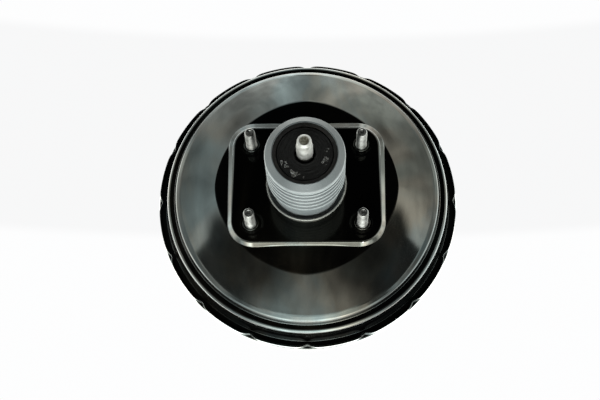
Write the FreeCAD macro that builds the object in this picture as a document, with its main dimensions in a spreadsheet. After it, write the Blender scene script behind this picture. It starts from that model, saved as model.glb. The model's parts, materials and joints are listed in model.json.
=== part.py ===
import FreeCAD, Part
import Sketcher
import math
import os
from FreeCAD import Vector, Placement, Rotation

# Vacuum brake booster, single diaphragm, bolted to a bulkhead by four studs.
# Frame: origin at the centre of the bulkhead mounting face, the booster's axis
# along Y, the pedal side towards -Y, the engine side towards +Y, +Z up.
# Millimetres. Radii are measured from the Y axis.

doc = FreeCAD.newDocument("BrakeBooster")
sheet = doc.addObject("Spreadsheet::Sheet", "Dims")

SIZES = [
    # shells
    ("shell_t", 1.4, "sheet thickness of both shells"),
    ("pad_w", 119.6, "bulkhead pad, width at its foot"),
    ("pad_ht", 97.6, "bulkhead pad, height at its foot"),
    ("pad_corner", 16.5, "bulkhead pad, corner radius at its foot"),
    ("pad_rise", 4.2, "how far the pad stands out of the disc"),
    ("pad_bevel", 4.7, "width of the bevel round the pad"),
    ("disc_rad", 68.7, "edge of the flat disc"),
    ("cone_rad", 102.0, "outer edge of the conical face"),
    ("cone_y", 21.6, "depth of that edge"),
    ("ledge_y", 26.6, "ledge between the two rim steps"),
    ("step_rad", 108.0, "outer rim step"),
    ("step_y", 27.2, "depth of the outer rim step"),
    ("foot_y", 38.5, "end of the rim wall"),
    ("foot_rad", 111.0, "small shoulder at the foot of the rim wall"),
    ("flange_y", 45.4, "clamped flange, pedal side"),
    ("flange_rad", 114.6, "clamped flange, edge"),
    ("neck_rad", 27.0, "neck bore that holds the seal and the bush"),
    ("neck_y", 15.0, "end of the neck"),
    ("pocket_rad", 28.9, "pocket that takes the boot's foot"),
    ("pocket_y", 3.0, "depth of that pocket"),
    ("bead_rad", 30.3, "raised ring round the pocket, outside"),
    ("bead_rise", 0.9, "height of that ring"),
    ("rim_rad", 116.4, "front shell's rim, outside"),
    ("lip_y", 42.0, "edge of the front shell's lip"),
    ("web_y", 51.9, "engine side of the front shell's rim"),
    ("can_rad", 111.4, "canister wall behind the rim"),
    ("can_y", 68.0, "end of the canister wall"),
    ("dome_rad", 104.0, "start of the front cone"),
    ("dome_y", 78.0, "depth of the start of the front cone"),
    ("nose_rad", 62.0, "end of the front cone"),
    ("nose_y", 97.0, "depth of the end of the front cone"),
    ("face_rad", 58.0, "flat face for the master cylinder"),
    ("face_y", 100.0, "master cylinder mounting face"),
    ("pilot_rad", 19.5, "hole for the master cylinder's spigot"),
    ("stake_count", 16, "stakes that lock the rim"),
    ("stake_depth", 2.0, "depth of a stake"),
    ("stake_rad", 9.0, "radius of the staking tool's mark"),
    ("stake_len", 3.2, "length of a stake along the axis"),
    # bulkhead studs
    ("stud_rad", 4.0, "M8 stud"),
    ("stud_dx", 83.0, "bulkhead studs, spacing across"),
    ("stud_dz", 62.0, "bulkhead studs, spacing up"),
    ("stud_len", 26.0, "bulkhead studs, length from the face"),
    ("collar_rad", 5.8, "shoulder at a stud's root, through the sheet"),
    ("head_rad", 8.5, "stud head inside the shell"),
    ("head_t", 3.5, "stud head thickness"),
    ("shoulder_hole", 5.95, "clearance round a stud's shoulder"),
    ("rear_plate_t", 2.5, "rear reinforcement plate"),
    ("rear_plate_w", 104.0, "rear plate width"),
    ("rear_plate_ht", 82.0, "rear plate height"),
    # master cylinder side
    ("mc_dx", 82.0, "master cylinder studs, spacing"),
    ("mc_len", 24.0, "master cylinder studs, length from the face"),
    ("front_plate_t", 3.0, "front reinforcement plate"),
    ("front_plate_rad", 54.0, "front reinforcement plate, radius"),
    # boot
    ("boot_end_y", 67.0, "boot's mouth, from the bulkhead face"),
    ("boot_edge_y", 63.0, "outer edge of the boot's conical end, from the bulkhead face"),
    ("boot_edge_rad", 28.25, "outer edge of the boot's conical end, radius"),
    ("boot_cap_y", 61.0, "start of the boot's straight side, from the bulkhead face"),
    ("boot_rad", 28.8, "boot, crests and end cap"),
    ("boot_valley", 26.2, "boot, valleys"),
    ("boot_mouth", 23.15, "hole in the boot's end face"),
    ("boot_t", 1.1, "boot wall"),
    ("boot_pitch", 7.3, "pitch of the boot's convolutions"),
    # power piston
    ("tube_rad", 23.4, "valve body tube, outside"),
    ("tube_bore", 20.6, "valve body tube, bore"),
    ("tube_end", 65.0, "end of the tube, from the bulkhead face"),
    ("slide_gap", 0.06, "running gap on the valve body tube"),
    ("plate_t", 1.6, "diaphragm plate"),
    ("rubber_t", 1.8, "diaphragm"),
    ("hub_rad", 28.0, "valve body spigot for plate and diaphragm"),
    ("hub_flange", 38.0, "valve body flange"),
    ("disc_bore", 14.0, "bore for the reaction disc"),
    ("stroke", 36.0, "power piston travel"),
    # valve and input rod
    ("plunger_rad", 7.9, "valve plunger"),
    ("ball_rad", 5.5, "ball on the input rod"),
    ("ball_y", -2.0, "centre of that ball"),
    ("rod_rad", 5.9, "input rod, thick part"),
    ("rod_neck", 4.0, "input rod, neck behind the ball"),
    ("rod_tip", 90.0, "end of the input rod, from the bulkhead face"),
    ("rod_tip_rad", 5.15, "head at the end of the input rod"),
    ("foam_bore", 8.4, "hole in the breather foam"),
    # output rod
    ("out_rad", 6.0, "output rod"),
    ("out_tip", 105.0, "end of the output rod's adjuster"),
    # springs
    ("main_wire", 1.8, "main return spring, wire radius"),
    ("main_big", 33.0, "main return spring, piston end"),
    ("main_turns", 6.0, "main return spring, turns"),
    ("rod_wire", 0.8, "input rod spring, wire radius"),
    # check valve
    ("cv_x", -58.0, "check valve, across"),
    ("cv_z", 58.0, "check valve, up"),
    ("cv_boss", 16.0, "flat boss for the check valve"),
    ("cv_face", 96.5, "face of that boss"),
    ("cv_hole", 9.0, "hole for the grommet"),
    ("cv_nipple", 5.2, "hose nipple, over its barbs"),
]


class Size:
    """A number with the sheet expression that gives it."""

    def __init__(self, value, text):
        self.value = float(value)
        self.text = text

    def __add__(self, o):
        o = size(o)
        return Size(self.value + o.value, "(%s + %s)" % (self.text, o.text))

    def __radd__(self, o):
        return size(o) + self

    def __sub__(self, o):
        o = size(o)
        return Size(self.value - o.value, "(%s - %s)" % (self.text, o.text))

    def __rsub__(self, o):
        return size(o) - self

    def __mul__(self, o):
        o = size(o)
        return Size(self.value * o.value, "(%s * %s)" % (self.text, o.text))

    def __rmul__(self, o):
        return size(o) * self

    def __truediv__(self, o):
        o = size(o)
        return Size(self.value / o.value, "(%s / %s)" % (self.text, o.text))

    def __neg__(self):
        return Size(-self.value, "(0 - %s)" % self.text)


def size(o):
    if isinstance(o, Size):
        return o
    return Size(o, ("%.6f" % o) if o >= 0 else "(0 - %.6f)" % -o)


S = {}
for row, (alias, value, words) in enumerate(SIZES, start=1):
    sheet.set("A%d" % row, alias)
    sheet.set("B%d" % row, "%g" % value)
    sheet.set("C%d" % row, words)
    sheet.setAlias("B%d" % row, alias)
    S[alias] = Size(value, "Dims." + alias)
doc.recompute()


# ---------------------------------------------------------------- helpers
made = []


def new_body(label):
    b = doc.addObject("PartDesign::Body", label)
    b.Label = label
    made.append(b)
    return b


def plane(b, role):
    return [o for o in b.Origin.OriginFeatures if o.Role == role][0]


def sketch(b, name, role="XY_Plane", offset=None):
    sk = b.newObject("Sketcher::SketchObject", name)
    sk.AttachmentSupport = [(plane(b, role), "")]
    sk.MapMode = "FlatFace"
    if offset is not None:
        q = size(offset)
        sk.AttachmentOffset = Placement(Vector(0, 0, q.value), Rotation())
        sk.setExpression("AttachmentOffset.Base.z", q.text)
    return sk


def bind(sk, index, name, q):
    sk.renameConstraint(index, name)
    sk.setExpression("Constraints." + name, q.text)


def place(sk, tag, geo, pos, px, py):
    """Fix one sketch point at (px, py), by the sheet."""
    px, py = size(px), size(py)
    for kind, axis_id, q, end in (("DistanceX", -2, px, "x"), ("DistanceY", -1, py, "y")):
        if abs(q.value) < 1e-9:
            sk.addConstraint(Sketcher.Constraint("PointOnObject", geo, pos, axis_id))
        elif q.value > 0:
            i = sk.addConstraint(Sketcher.Constraint(kind, -1, 1, geo, pos, q.value))
            bind(sk, i, tag + end, q)
        else:
            i = sk.addConstraint(Sketcher.Constraint(kind, geo, pos, -1, 1, -q.value))
            bind(sk, i, tag + end, -q)


def polygon(sk, pts):
    """A closed polygon, each corner fixed by the sheet."""
    pts = [(size(x), size(y)) for x, y in pts]
    v = [Vector(x.value, y.value, 0) for x, y in pts]
    n = len(v)
    first = sk.GeometryCount
    for i in range(n):
        sk.addGeometry(Part.LineSegment(v[i], v[(i + 1) % n]), False)
    for i in range(n):
        sk.addConstraint(Sketcher.Constraint("Coincident", first + i, 2, first + (i + 1) % n, 1))
    for i, (x, y) in enumerate(pts):
        place(sk, "p%d_" % (first + i), first + i, 1, x, y)
    return sk


def circle(sk, x, y, r):
    x, y, r = size(x), size(y), size(r)
    g = sk.addGeometry(Part.Circle(Vector(x.value, y.value, 0), Vector(0, 0, 1), r.value), False)
    i = sk.addConstraint(Sketcher.Constraint("Radius", g, r.value))
    bind(sk, i, "r%d" % g, r)
    place(sk, "c%d_" % g, g, 3, x, y)
    return g


def rounded_rect(sk, w, ht, corner):
    w, ht, corner = size(w), size(ht), size(corner)
    x, y, c = w.value / 2, ht.value / 2, corner.value
    L, A = Part.LineSegment, Part.ArcOfCircle
    N = Vector(0, 0, 1)

    def arc(cx, cy, a0):
        return A(Part.Circle(Vector(cx, cy, 0), N, c), math.radians(a0), math.radians(a0 + 90))

    for g in (
        L(Vector(-x + c, -y, 0), Vector(x - c, -y, 0)),
        L(Vector(x, -y + c, 0), Vector(x, y - c, 0)),
        L(Vector(x - c, y, 0), Vector(-x + c, y, 0)),
        L(Vector(-x, y - c, 0), Vector(-x, -y + c, 0)),
        arc(x - c, -y + c, 270),
        arc(x - c, y - c, 0),
        arc(-x + c, y - c, 90),
        arc(-x + c, -y + c, 180),
    ):
        sk.addGeometry(g, False)
    C = Sketcher.Constraint
    for a, pa, b, pb in (
        (0, 2, 4, 1), (4, 2, 1, 1), (1, 2, 5, 1), (5, 2, 2, 1),
        (2, 2, 6, 1), (6, 2, 3, 1), (3, 2, 7, 1), (7, 2, 0, 1),
    ):
        sk.addConstraint(C("Tangent", a, pa, b, pb))
    for g in (0, 2):
        sk.addConstraint(C("Horizontal", g))
    for g in (1, 3):
        sk.addConstraint(C("Vertical", g))
    for g in (5, 6, 7):
        sk.addConstraint(C("Equal", 4, g))
    sk.addConstraint(C("Symmetric", 4, 3, 6, 3, -1, 1))
    bind(sk, sk.addConstraint(C("Radius", 4, c)), "corner", corner)
    bind(sk, sk.addConstraint(C("DistanceX", 3, 1, 1, 1, 2 * x)), "wide", w)
    bind(sk, sk.addConstraint(C("DistanceY", 0, 1, 2, 1, 2 * y)), "tall", ht)
    return sk


def finish(b, feature):
    b.Tip = feature
    doc.recompute()
    return feature


def revolve(b, name, pts, kind="Revolution"):
    sk = polygon(sketch(b, name + "Profile"), pts)
    before = b.Shape.Volume if kind == "Groove" else 0
    f = b.newObject("PartDesign::" + kind, name)
    f.Profile = sk
    f.ReferenceAxis = (sk, ["V_Axis"])
    f.Angle = 360
    finish(b, f)
    if kind == "Groove" and not b.Shape.Volume < before - 1:
        raise RuntimeError("%s cuts nothing" % name)
    return f


def prism(b, sk, name, length, kind="Pad", towards=1):
    """Pad or Pocket of a sketch on the XZ plane, towards +Y or -Y."""
    before = b.Shape.Volume if kind == "Pocket" else 0
    q = size(length)
    f = b.newObject("PartDesign::" + kind, name)
    f.Profile = sk
    f.Length = q.value
    f.setExpression("Length", q.text)
    f.Reversed = (towards > 0) if kind == "Pad" else (towards < 0)
    finish(b, f)
    if kind == "Pocket" and not b.Shape.Volume < before - 0.5:
        raise RuntimeError("%s cuts nothing" % name)
    return f


def ring_pattern(b, name, features, count):
    f = b.newObject("PartDesign::PolarPattern", name)
    f.Originals = features
    f.Axis = (plane_axis(b, "Y_Axis"), [""])
    f.Angle = 360
    f.Occurrences = int(size(count).value)
    if isinstance(count, Size):
        f.setExpression("Occurrences", count.text)
    return finish(b, f)


def plane_axis(b, role):
    return [o for o in b.Origin.OriginFeatures if o.Role == role][0]


def offset_side(pts, thickness, side):
    """The other side of a sheet that follows the open line pts. Each corner is
    moved along its mitre by the sheet's thickness, so it follows the sheet."""
    v = [(size(x).value, size(y).value) for x, y in pts]
    n = len(v)
    normals = []
    for i in range(n - 1):
        dx, dy = v[i + 1][0] - v[i][0], v[i + 1][1] - v[i][1]
        d = math.hypot(dx, dy)
        normals.append((-dy / d * side, dx / d * side))
    out = []
    for i in range(n):
        a = normals[max(i - 1, 0)]
        c = normals[min(i, n - 2)]
        k = 1 + a[0] * c[0] + a[1] * c[1]
        mx, my = (a[0] + c[0]) / k, (a[1] + c[1]) / k
        x, y = size(pts[i][0]), size(pts[i][1])
        out.append((x + mx * thickness, y + my * thickness))
    return out


def tube(b, name, r_in, r_out, y0, y1):
    return revolve(b, name, [(r_in, y0), (r_out, y0), (r_out, y1), (r_in, y1)])


def helix(b, name, radius, wire, y0, height, turns, cone=0.0):
    """A coil spring about the Y axis, its wire starting at (radius, y0)."""
    sk = sketch(b, name + "Wire")
    circle(sk, radius, y0, wire)
    f = b.newObject("PartDesign::AdditiveHelix", name)
    f.Profile = sk
    f.ReferenceAxis = (sk, ["V_Axis"])
    f.Mode = 2
    h = size(height)
    f.Height = h.value
    f.setExpression("Height", h.text)
    t = size(turns)
    f.Turns = t.value
    f.setExpression("Turns", t.text)
    f.Angle = cone
    return finish(b, f)


def fillet_circles(b, name, spots, radius):
    """Round the circular edges at the given (radius, y) places."""
    names = []
    for i, e in enumerate(b.Shape.Edges, start=1):
        c = e.Curve
        if not isinstance(c, Part.Circle):
            continue
        for r, y in spots:
            if abs(c.Radius - size(r).value) < 0.02 and abs(c.Center.y - size(y).value) < 0.02:
                names.append("Edge%d" % i)
    if not names:
        raise RuntimeError("no edge for " + name)
    base = b.Tip
    f = b.newObject("PartDesign::Fillet", name)
    f.Base = (base, names)
    f.Radius = radius
    return finish(b, f)


t = S["shell_t"]

# ---------------------------------------------------------------- rear shell
rear = new_body("rear_shell")
out_line = [
    (36.0, S["pad_rise"]),
    (S["disc_rad"], S["pad_rise"]),
    (S["cone_rad"], S["cone_y"]),
    (S["cone_rad"] + 0.8, S["ledge_y"]),
    (S["step_rad"], S["step_y"]),
    (S["step_rad"] + 0.5, S["foot_y"]),
    (S["foot_rad"], S["foot_y"] + 2.6),
    (S["foot_rad"], S["flange_y"]),
    (S["flange_rad"], S["flange_y"]),
]
in_line = offset_side(out_line, t, 1)
revolve(rear, "RearSheet", out_line + in_line[::-1])
fillet_circles(rear, "RearSteps", [(S["cone_rad"], S["cone_y"]), (S["step_rad"], S["step_y"])], 1.2)
# raised bulkhead pad: a bevelled block, hollowed from the inside
s0 = rounded_rect(
    sketch(rear, "PadFoot", "XZ_Plane", -(S["pad_rise"] + t * 0.5)),
    S["pad_w"], S["pad_ht"], S["pad_corner"],
)
s1 = rounded_rect(
    sketch(rear, "PadTop", "XZ_Plane", 0.0),
    S["pad_w"] - S["pad_bevel"] * 2, S["pad_ht"] - S["pad_bevel"] * 2, S["pad_corner"] - S["pad_bevel"],
)
doc.recompute()
f = rear.newObject("PartDesign::AdditiveLoft", "PadBlock")
f.Profile = s0
f.Sections = [s1]
f.Ruled = True
finish(rear, f)
s2 = rounded_rect(
    sketch(rear, "HollowFoot", "XZ_Plane", -(S["pad_rise"] + t + 0.2)),
    S["pad_w"] - 2.2, S["pad_ht"] - 2.2, S["pad_corner"] - 1.1,
)
s3 = rounded_rect(
    sketch(rear, "HollowTop", "XZ_Plane", -t),
    S["pad_w"] - S["pad_bevel"] * 2 - 1.4, S["pad_ht"] - S["pad_bevel"] * 2 - 1.4, S["pad_corner"] - S["pad_bevel"] - 0.7,
)
doc.recompute()
before = rear.Shape.Volume
f = rear.newObject("PartDesign::SubtractiveLoft", "PadHollow")
f.Profile = s2
f.Sections = [s3]
f.Ruled = True
finish(rear, f)
if not rear.Shape.Volume < before - 1000:
    raise RuntimeError("the pad isn't hollow")
# neck: a turned-in tube with a pocket for the boot and a raised ring round it
revolve(rear, "Neck", [
    (S["neck_rad"], S["pocket_y"]),
    (S["pocket_rad"], S["pocket_y"]),
    (S["pocket_rad"], -S["bead_rise"]),
    (S["bead_rad"], -S["bead_rise"]),
    (S["bead_rad"], t),
    (S["bead_rad"], S["pocket_y"] + t),
    (S["neck_rad"] + t, S["pocket_y"] + t),
    (S["neck_rad"] + t, S["neck_y"]),
    (S["neck_rad"], S["neck_y"]),
])
revolve(rear, "NeckHole", [
    (0.0, -5.0), (S["pocket_rad"], -5.0), (S["pocket_rad"], S["pocket_y"]),
    (S["neck_rad"], S["pocket_y"]), (S["neck_rad"], 20.0), (0.0, 20.0),
], "Groove")
sk = sketch(rear, "StudHoles", "XZ_Plane", 3.0)
for sx in (-1, 1):
    for sz in (-1, 1):
        circle(sk, S["stud_dx"] * (0.5 * sx), S["stud_dz"] * (0.5 * sz), S["shoulder_hole"])
prism(rear, sk, "StudHoleCut", 12.0, "Pocket", 1)

# ---------------------------------------------------------------- front shell
front = new_body("front_shell")
out_line = [
    (S["rim_rad"], S["lip_y"]),
    (S["rim_rad"], S["web_y"]),
    (S["can_rad"], S["web_y"]),
    (S["can_rad"] - 1.2, S["can_y"]),
    (S["dome_rad"], S["dome_y"]),
    (S["nose_rad"], S["nose_y"]),
    (S["face_rad"], S["face_y"]),
    (S["pilot_rad"], S["face_y"]),
]
in_line = offset_side(out_line, t, 1)
revolve(front, "FrontSheet", out_line + in_line[::-1])
# flat boss for the check valve
sk = sketch(front, "BossOutline", "XZ_Plane", -S["cv_face"])
circle(sk, S["cv_x"], S["cv_z"], S["cv_boss"])
prism(front, sk, "Boss", 22.0, "Pad", -1)
revolve(front, "BossTrim", [(0.0, S["can_y"])] + in_line[3:] + [(0.0, S["face_y"] - t)], "Groove")
sk = sketch(front, "BossHollow", "XZ_Plane", -(S["cv_face"] - t))
circle(sk, S["cv_x"], S["cv_z"], S["cv_boss"] - t)
prism(front, sk, "BossHollowCut", 25.0, "Pocket", -1)
sk = sketch(front, "GrommetHole", "XZ_Plane", -(S["cv_face"] + 2))
circle(sk, S["cv_x"], S["cv_z"], S["cv_hole"])
prism(front, sk, "GrommetHoleCut", 6.0, "Pocket", -1)
sk = sketch(front, "MasterStudHoles", "XZ_Plane", -(S["face_y"] + 2))
for sx in (-1, 1):
    circle(sk, S["mc_dx"] * (0.5 * sx), 0.0, S["shoulder_hole"])
prism(front, sk, "MasterStudHoleCut", 6.0, "Pocket", -1)
# stakes: each presses the lip in over the rear shell's flange
sk = sketch(front, "StakeTab", "XZ_Plane", -S["lip_y"])
polygon(sk, [
    (-4.5, -(S["rim_rad"] - t * 0.6)), (4.5, -(S["rim_rad"] - t * 0.6)),
    (3.6, -(S["rim_rad"] - t - S["stake_depth"])), (-3.6, -(S["rim_rad"] - t - S["stake_depth"])),
])
tab = prism(front, sk, "StakeTabPad", S["stake_len"], "Pad", 1)
sk = sketch(front, "StakeMark", "XZ_Plane", -(S["lip_y"] - 0.5))
circle(sk, 0.0, -(S["rim_rad"] + S["stake_rad"] - S["stake_depth"]), S["stake_rad"])
mark = prism(front, sk, "StakeMarkCut", S["stake_len"] + 0.5, "Pocket", 1)
before = front.Shape.Volume
ring_pattern(front, "Stakes", [tab, mark], S["stake_count"])

# ---------------------------------------------------------------- bulkhead studs, one node
studs = new_body("bulkhead_studs")


def stud_stack(b, tag, centres, levels):
    """Stacked discs on each centre. levels: (y start, y end, radius)."""
    for i, (y0, y1, r) in enumerate(levels):
        y0, y1 = size(y0), size(y1)
        sk = sketch(b, "%s%dOutline" % (tag, i), "XZ_Plane", -y0)
        for x, z in centres:
            circle(sk, x, z, r)
        prism(b, sk, "%s%d" % (tag, i), y1 - y0, "Pad", 1)


centres = [(S["stud_dx"] * (0.5 * sx), S["stud_dz"] * (0.5 * sz)) for sx in (-1, 1) for sz in (-1, 1)]
inner = t + S["rear_plate_t"]
stud_stack(studs, "Stud", centres, [
    (-S["stud_len"], -(S["stud_len"] - 1.0), S["stud_rad"] - 0.7),
    (-(S["stud_len"] - 1.0), inner, S["stud_rad"]),
    (0.0, inner, S["collar_rad"]),
    (inner, inner + S["head_t"], S["head_rad"]),
])
sk = sketch(studs, "TipCups", "XZ_Plane", S["stud_len"] + 1.0)
for x, z in centres:
    circle(sk, x, z, 1.9)
prism(studs, sk, "TipCupCut", 2.2, "Pocket", 1)

# ---------------------------------------------------------------- rear reinforcement plate
plate = new_body("rear_reinforcement_plate")
sk = rounded_rect(sketch(plate, "PlateOutline", "XZ_Plane", -t), S["rear_plate_w"], S["rear_plate_ht"], 10.0)
prism(plate, sk, "Plate", S["rear_plate_t"], "Pad", 1)
sk = sketch(plate, "PlateHoles", "XZ_Plane", -(t - 1))
circle(sk, 0.0, 0.0, S["bead_rad"] + 0.3)
for x, z in centres:
    circle(sk, x, z, S["shoulder_hole"])
prism(plate, sk, "PlateHoleCut", S["rear_plate_t"] + 3, "Pocket", 1)

# ---------------------------------------------------------------- rear bush and lip seal
bush = new_body("guide_bush")
tube(bush, "Bush", S["tube_rad"] + S["slide_gap"], S["neck_rad"] - 0.03, S["pocket_y"] + 0.2, 8.2)
seal = new_body("rear_lip_seal")
revolve(seal, "Seal", [
    (S["tube_rad"] + 0.08, 12.6), (S["tube_rad"] + 0.9, 14.6), (S["tube_rad"] + 1.5, 14.6),
    (S["tube_rad"] + 1.2, 10.4), (S["neck_rad"] - 1.2, 10.4), (S["neck_rad"] - 1.0, 14.6),
    (S["neck_rad"] - 0.03, 14.6), (S["neck_rad"] - 0.03, 8.3), (S["tube_rad"] + 0.6, 8.3),
    (S["tube_rad"] + 0.6, 11.4),
])

# ---------------------------------------------------------------- dust boot
boot = new_body("dust_boot")
E, R1, R0, bt, P = S["boot_cap_y"], S["boot_rad"], S["boot_valley"], S["boot_t"], S["boot_pitch"]
outer = [(S["boot_mouth"], -S["boot_end_y"]), (S["boot_edge_rad"], -S["boot_edge_y"]), (R1, -E), (R1, -(E - 4.2)), (R0, -(E - 5.0))]
inner_pts = [(S["boot_mouth"], -(S["boot_end_y"] - 1.7)), (S["tube_rad"] + 0.05, -(S["boot_end_y"] - 1.7)),
             (S["tube_rad"] + 0.05, -(E - 3.6)), (R0 - bt, -(E - 4.4))]
for i in range(6):
    y = -(E - 5.6) + P * i
    last = i == 5
    outer += [(R0, y), (R1, y + 0.9), (R1, y + 5.0), (R0, y + 5.9)]
    inner_pts += [(R0 - bt, y + 0.3), (R1 - bt, y + 1.3), (R1 - bt, y + 4.6), (R0 - bt, y + 5.6)]
outer += [(R0, 1.9), (S["pocket_rad"] - 0.35, 1.9), (S["pocket_rad"] - 0.35, S["pocket_y"] - 0.05)]
inner_pts += [(R0 - bt, 1.9), (R0 - bt, S["pocket_y"] - 0.05)]
revolve(boot, "Bellows", outer + inner_pts[::-1])

# ---------------------------------------------------------------- valve body
vb = new_body("valve_body")
ts = S["tube_rad"]
revolve(vb, "Body", [
    (S["tube_bore"], -S["tube_end"]), (ts, -S["tube_end"]), (ts, 15.4), (26.6, 15.4), (26.6, 17.1),
    (S["hub_rad"], 17.1), (S["hub_rad"], 20.5), (S["hub_flange"], 20.5), (S["hub_flange"], 26.0),
    (20.5, 26.0), (18.5, 38.0), (S["disc_bore"], 38.0), (S["disc_bore"], 27.0),
    (S["plunger_rad"] + 0.06, 27.0), (S["plunger_rad"] + 0.06, -1.5), (12.5, -1.5), (12.5, -5.0),
    (16.4, -5.0), (16.4, -26.0), (S["tube_bore"], -26.0),
])
sk = sketch(vb, "VacuumPort", "XZ_Plane", 6.0)
circle(sk, 0.0, -14.4, 1.7)
port = prism(vb, sk, "VacuumPortCut", 40.0, "Pocket", 1)
ring_pattern(vb, "VacuumPorts", [port], 4)
sk = sketch(vb, "KeySlot", "XZ_Plane", -7.4)
polygon(sk, [(-9.2, -8.3), (9.2, -8.3), (9.2, 30.0), (-9.2, 30.0)])
prism(vb, sk, "KeySlotCut", 2.2, "Pocket", 1)

key = new_body("valve_stop_key")
sk = sketch(key, "KeyOutline", "XZ_Plane", -7.6)
polygon(sk, [(-9.0, -8.0), (-5.3, -8.0), (-5.3, 5.6), (5.3, 5.6), (5.3, -8.0), (9.0, -8.0),
             (9.0, 19.5), (6.0, 22.2), (-6.0, 22.2), (-9.0, 19.5)])
prism(key, sk, "Key", 1.8, "Pad", 1)

# ---------------------------------------------------------------- diaphragm and its plate
dp = new_body("diaphragm_plate")
line = [
    (S["hub_rad"] + 0.03, 18.9), (72.0, 18.9), (95.6, 30.3), (96.6, 32.4), (96.6, 39.0),
]
revolve(dp, "Dish", line + offset_side(line, S["plate_t"], 1)[::-1])
dia = new_body("diaphragm")
line = [
    (S["hub_rad"] + 0.03, 17.1), (72.4, 17.1), (96.9, 28.9), (103.6, 29.6), (105.7, 32.0), (105.7, 40.0),
    (108.0, 45.0), (108.6, 47.0), (114.2, 47.0),
]
back = offset_side(line, S["rubber_t"], 1)
revolve(dia, "Sheet", line + [(114.2, 50.2), (109.9, 50.2), (109.9, 48.9)] + [
    (107.0, 48.9), (106.3, 45.6), (103.9, 40.2), (103.9, 32.6), (102.8, 31.4), (97.6, 31.0),
    (96.2, 30.45), (72.0, 18.85), (S["hub_rad"] + 0.03, 18.85),
])
lock = new_body("diaphragm_lock_ring")
revolve(lock, "Ring", [(26.65, 15.5), (33.0, 15.5), (34.0, 16.1), (34.0, 17.05), (26.65, 17.05)])

# ---------------------------------------------------------------- valve train
pl = new_body("valve_plunger")
pr = S["plunger_rad"]
revolve(pl, "Plunger", [
    (S["ball_rad"] + 0.06, -6.7), (11.0, -6.7), (11.0, -4.2), (pr, -4.2), (pr, 5.9), (5.0, 5.9),
    (5.0, 10.6), (pr, 10.6), (pr, 25.2), (0.0, 25.2), (0.0, 3.7), (S["ball_rad"] + 0.06, 3.7),
])

rod = new_body("input_push_rod")
rt = S["rod_tip"]
revolve(rod, "Rod", [
    (0.0, S["ball_y"]), (S["rod_neck"], S["ball_y"]), (S["rod_neck"], -41.2), (S["rod_rad"], -42.4),
    (S["rod_rad"], -(rt - 9.6)), (S["rod_tip_rad"] - 0.25, -(rt - 8.6)), (S["rod_tip_rad"] - 0.25, -(rt - 7.2)),
    (S["rod_tip_rad"], -(rt - 6.6)), (S["rod_tip_rad"], -(rt - 1.2)), (S["rod_tip_rad"] - 1.2, -rt), (0.0, -rt),
])
f = rod.newObject("PartDesign::AdditiveSphere", "Ball")
f.Radius = S["ball_rad"].value
f.setExpression("Radius", S["ball_rad"].text)
f.AttachmentSupport = [(plane(rod, "XY_Plane"), "")]
f.MapMode = "FlatFace"
f.AttachmentOffset = Placement(Vector(0, S["ball_y"].value, 0), Rotation())
f.setExpression("AttachmentOffset.Base.y", S["ball_y"].text)
finish(rod, f)

seat = new_body("rod_spring_seat")
revolve(seat, "Seat", [(S["rod_neck"] + 0.02, -41.1), (15.2, -41.1), (15.2, -38.6), (14.4, -38.6), (14.4, -40.2),
                       (S["rod_neck"] + 0.02, -40.2)])
spring = new_body("input_return_spring")
helix(spring, "Coil", 12.6, S["rod_wire"], -39.1, 11.0, 4.5)

pv = new_body("poppet_valve")
revolve(pv, "Poppet", [
    (6.8, -9.6), (6.8, -7.1), (14.6, -7.1), (14.6, -9.0), (13.4, -9.8), (13.4, -19.9), (16.3, -19.9),
    (16.3, -23.0), (12.2, -23.0), (12.2, -9.6),
])
pret = new_body("poppet_retainer")
revolve(pret, "Retainer", [
    (9.0, -24.8), (11.9, -24.8), (11.9, -23.1), (16.35, -23.1), (16.35, -26.0), (20.5, -26.05), (20.5, -27.2),
    (11.9, -27.2), (11.9, -26.0), (9.0, -26.0),
])
ps = new_body("poppet_spring")
helix(ps, "Coil", 10.4, 0.55, -24.2, 14.0, 5.0)

foam = new_body("breather_foam")
tube(foam, "Foam", S["foam_bore"], S["tube_bore"] - 0.1, -64.2, -49.4)
felt = new_body("silencer_felt")
tube(felt, "Felt", S["foam_bore"] + 0.2, S["tube_bore"] - 0.1, -49.3, -45.4)
fr = new_body("filter_retainer")
revolve(fr, "Washer", [(10.0, -45.3), (S["tube_bore"] - 0.03, -45.3), (S["tube_bore"] - 0.03, -42.6),
                       (S["tube_bore"] - 0.9, -42.6), (S["tube_bore"] - 0.9, -44.4), (10.0, -44.4)])

# ---------------------------------------------------------------- output side of the piston
rd = new_body("reaction_disc")
revolve(rd, "Disc", [(0.0, 27.1), (S["disc_bore"] - 0.1, 27.1), (S["disc_bore"] - 0.1, 31.5), (0.0, 31.5)])
orod = new_body("output_rod")
revolve(orod, "Rod", [
    (0.0, 31.6), (S["disc_bore"] - 0.1, 31.6), (S["disc_bore"] - 0.1, 35.5), (S["out_rad"] + 1.5, 37.0),
    (S["out_rad"], 40.0), (S["out_rad"], 96.0), (S["out_rad"] - 1.0, 97.0), (3.05, 97.0), (3.05, 86.0), (0.0, 86.0),
])
oret = new_body("output_rod_retainer")
revolve(oret, "Clip", [(8.0, 36.9), (S["disc_bore"] - 0.05, 35.7), (S["disc_bore"] - 0.05, 37.7), (8.0, 38.4)])
adj = new_body("output_adjuster")
ot = S["out_tip"]
revolve(adj, "Screw", [
    (0.0, 87.0), (3.0, 87.0), (3.0, 97.1), (5.0, 97.1), (5.0, ot - 2.4), (3.4, ot - 0.7), (1.2, ot), (0.0, ot),
])

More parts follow.
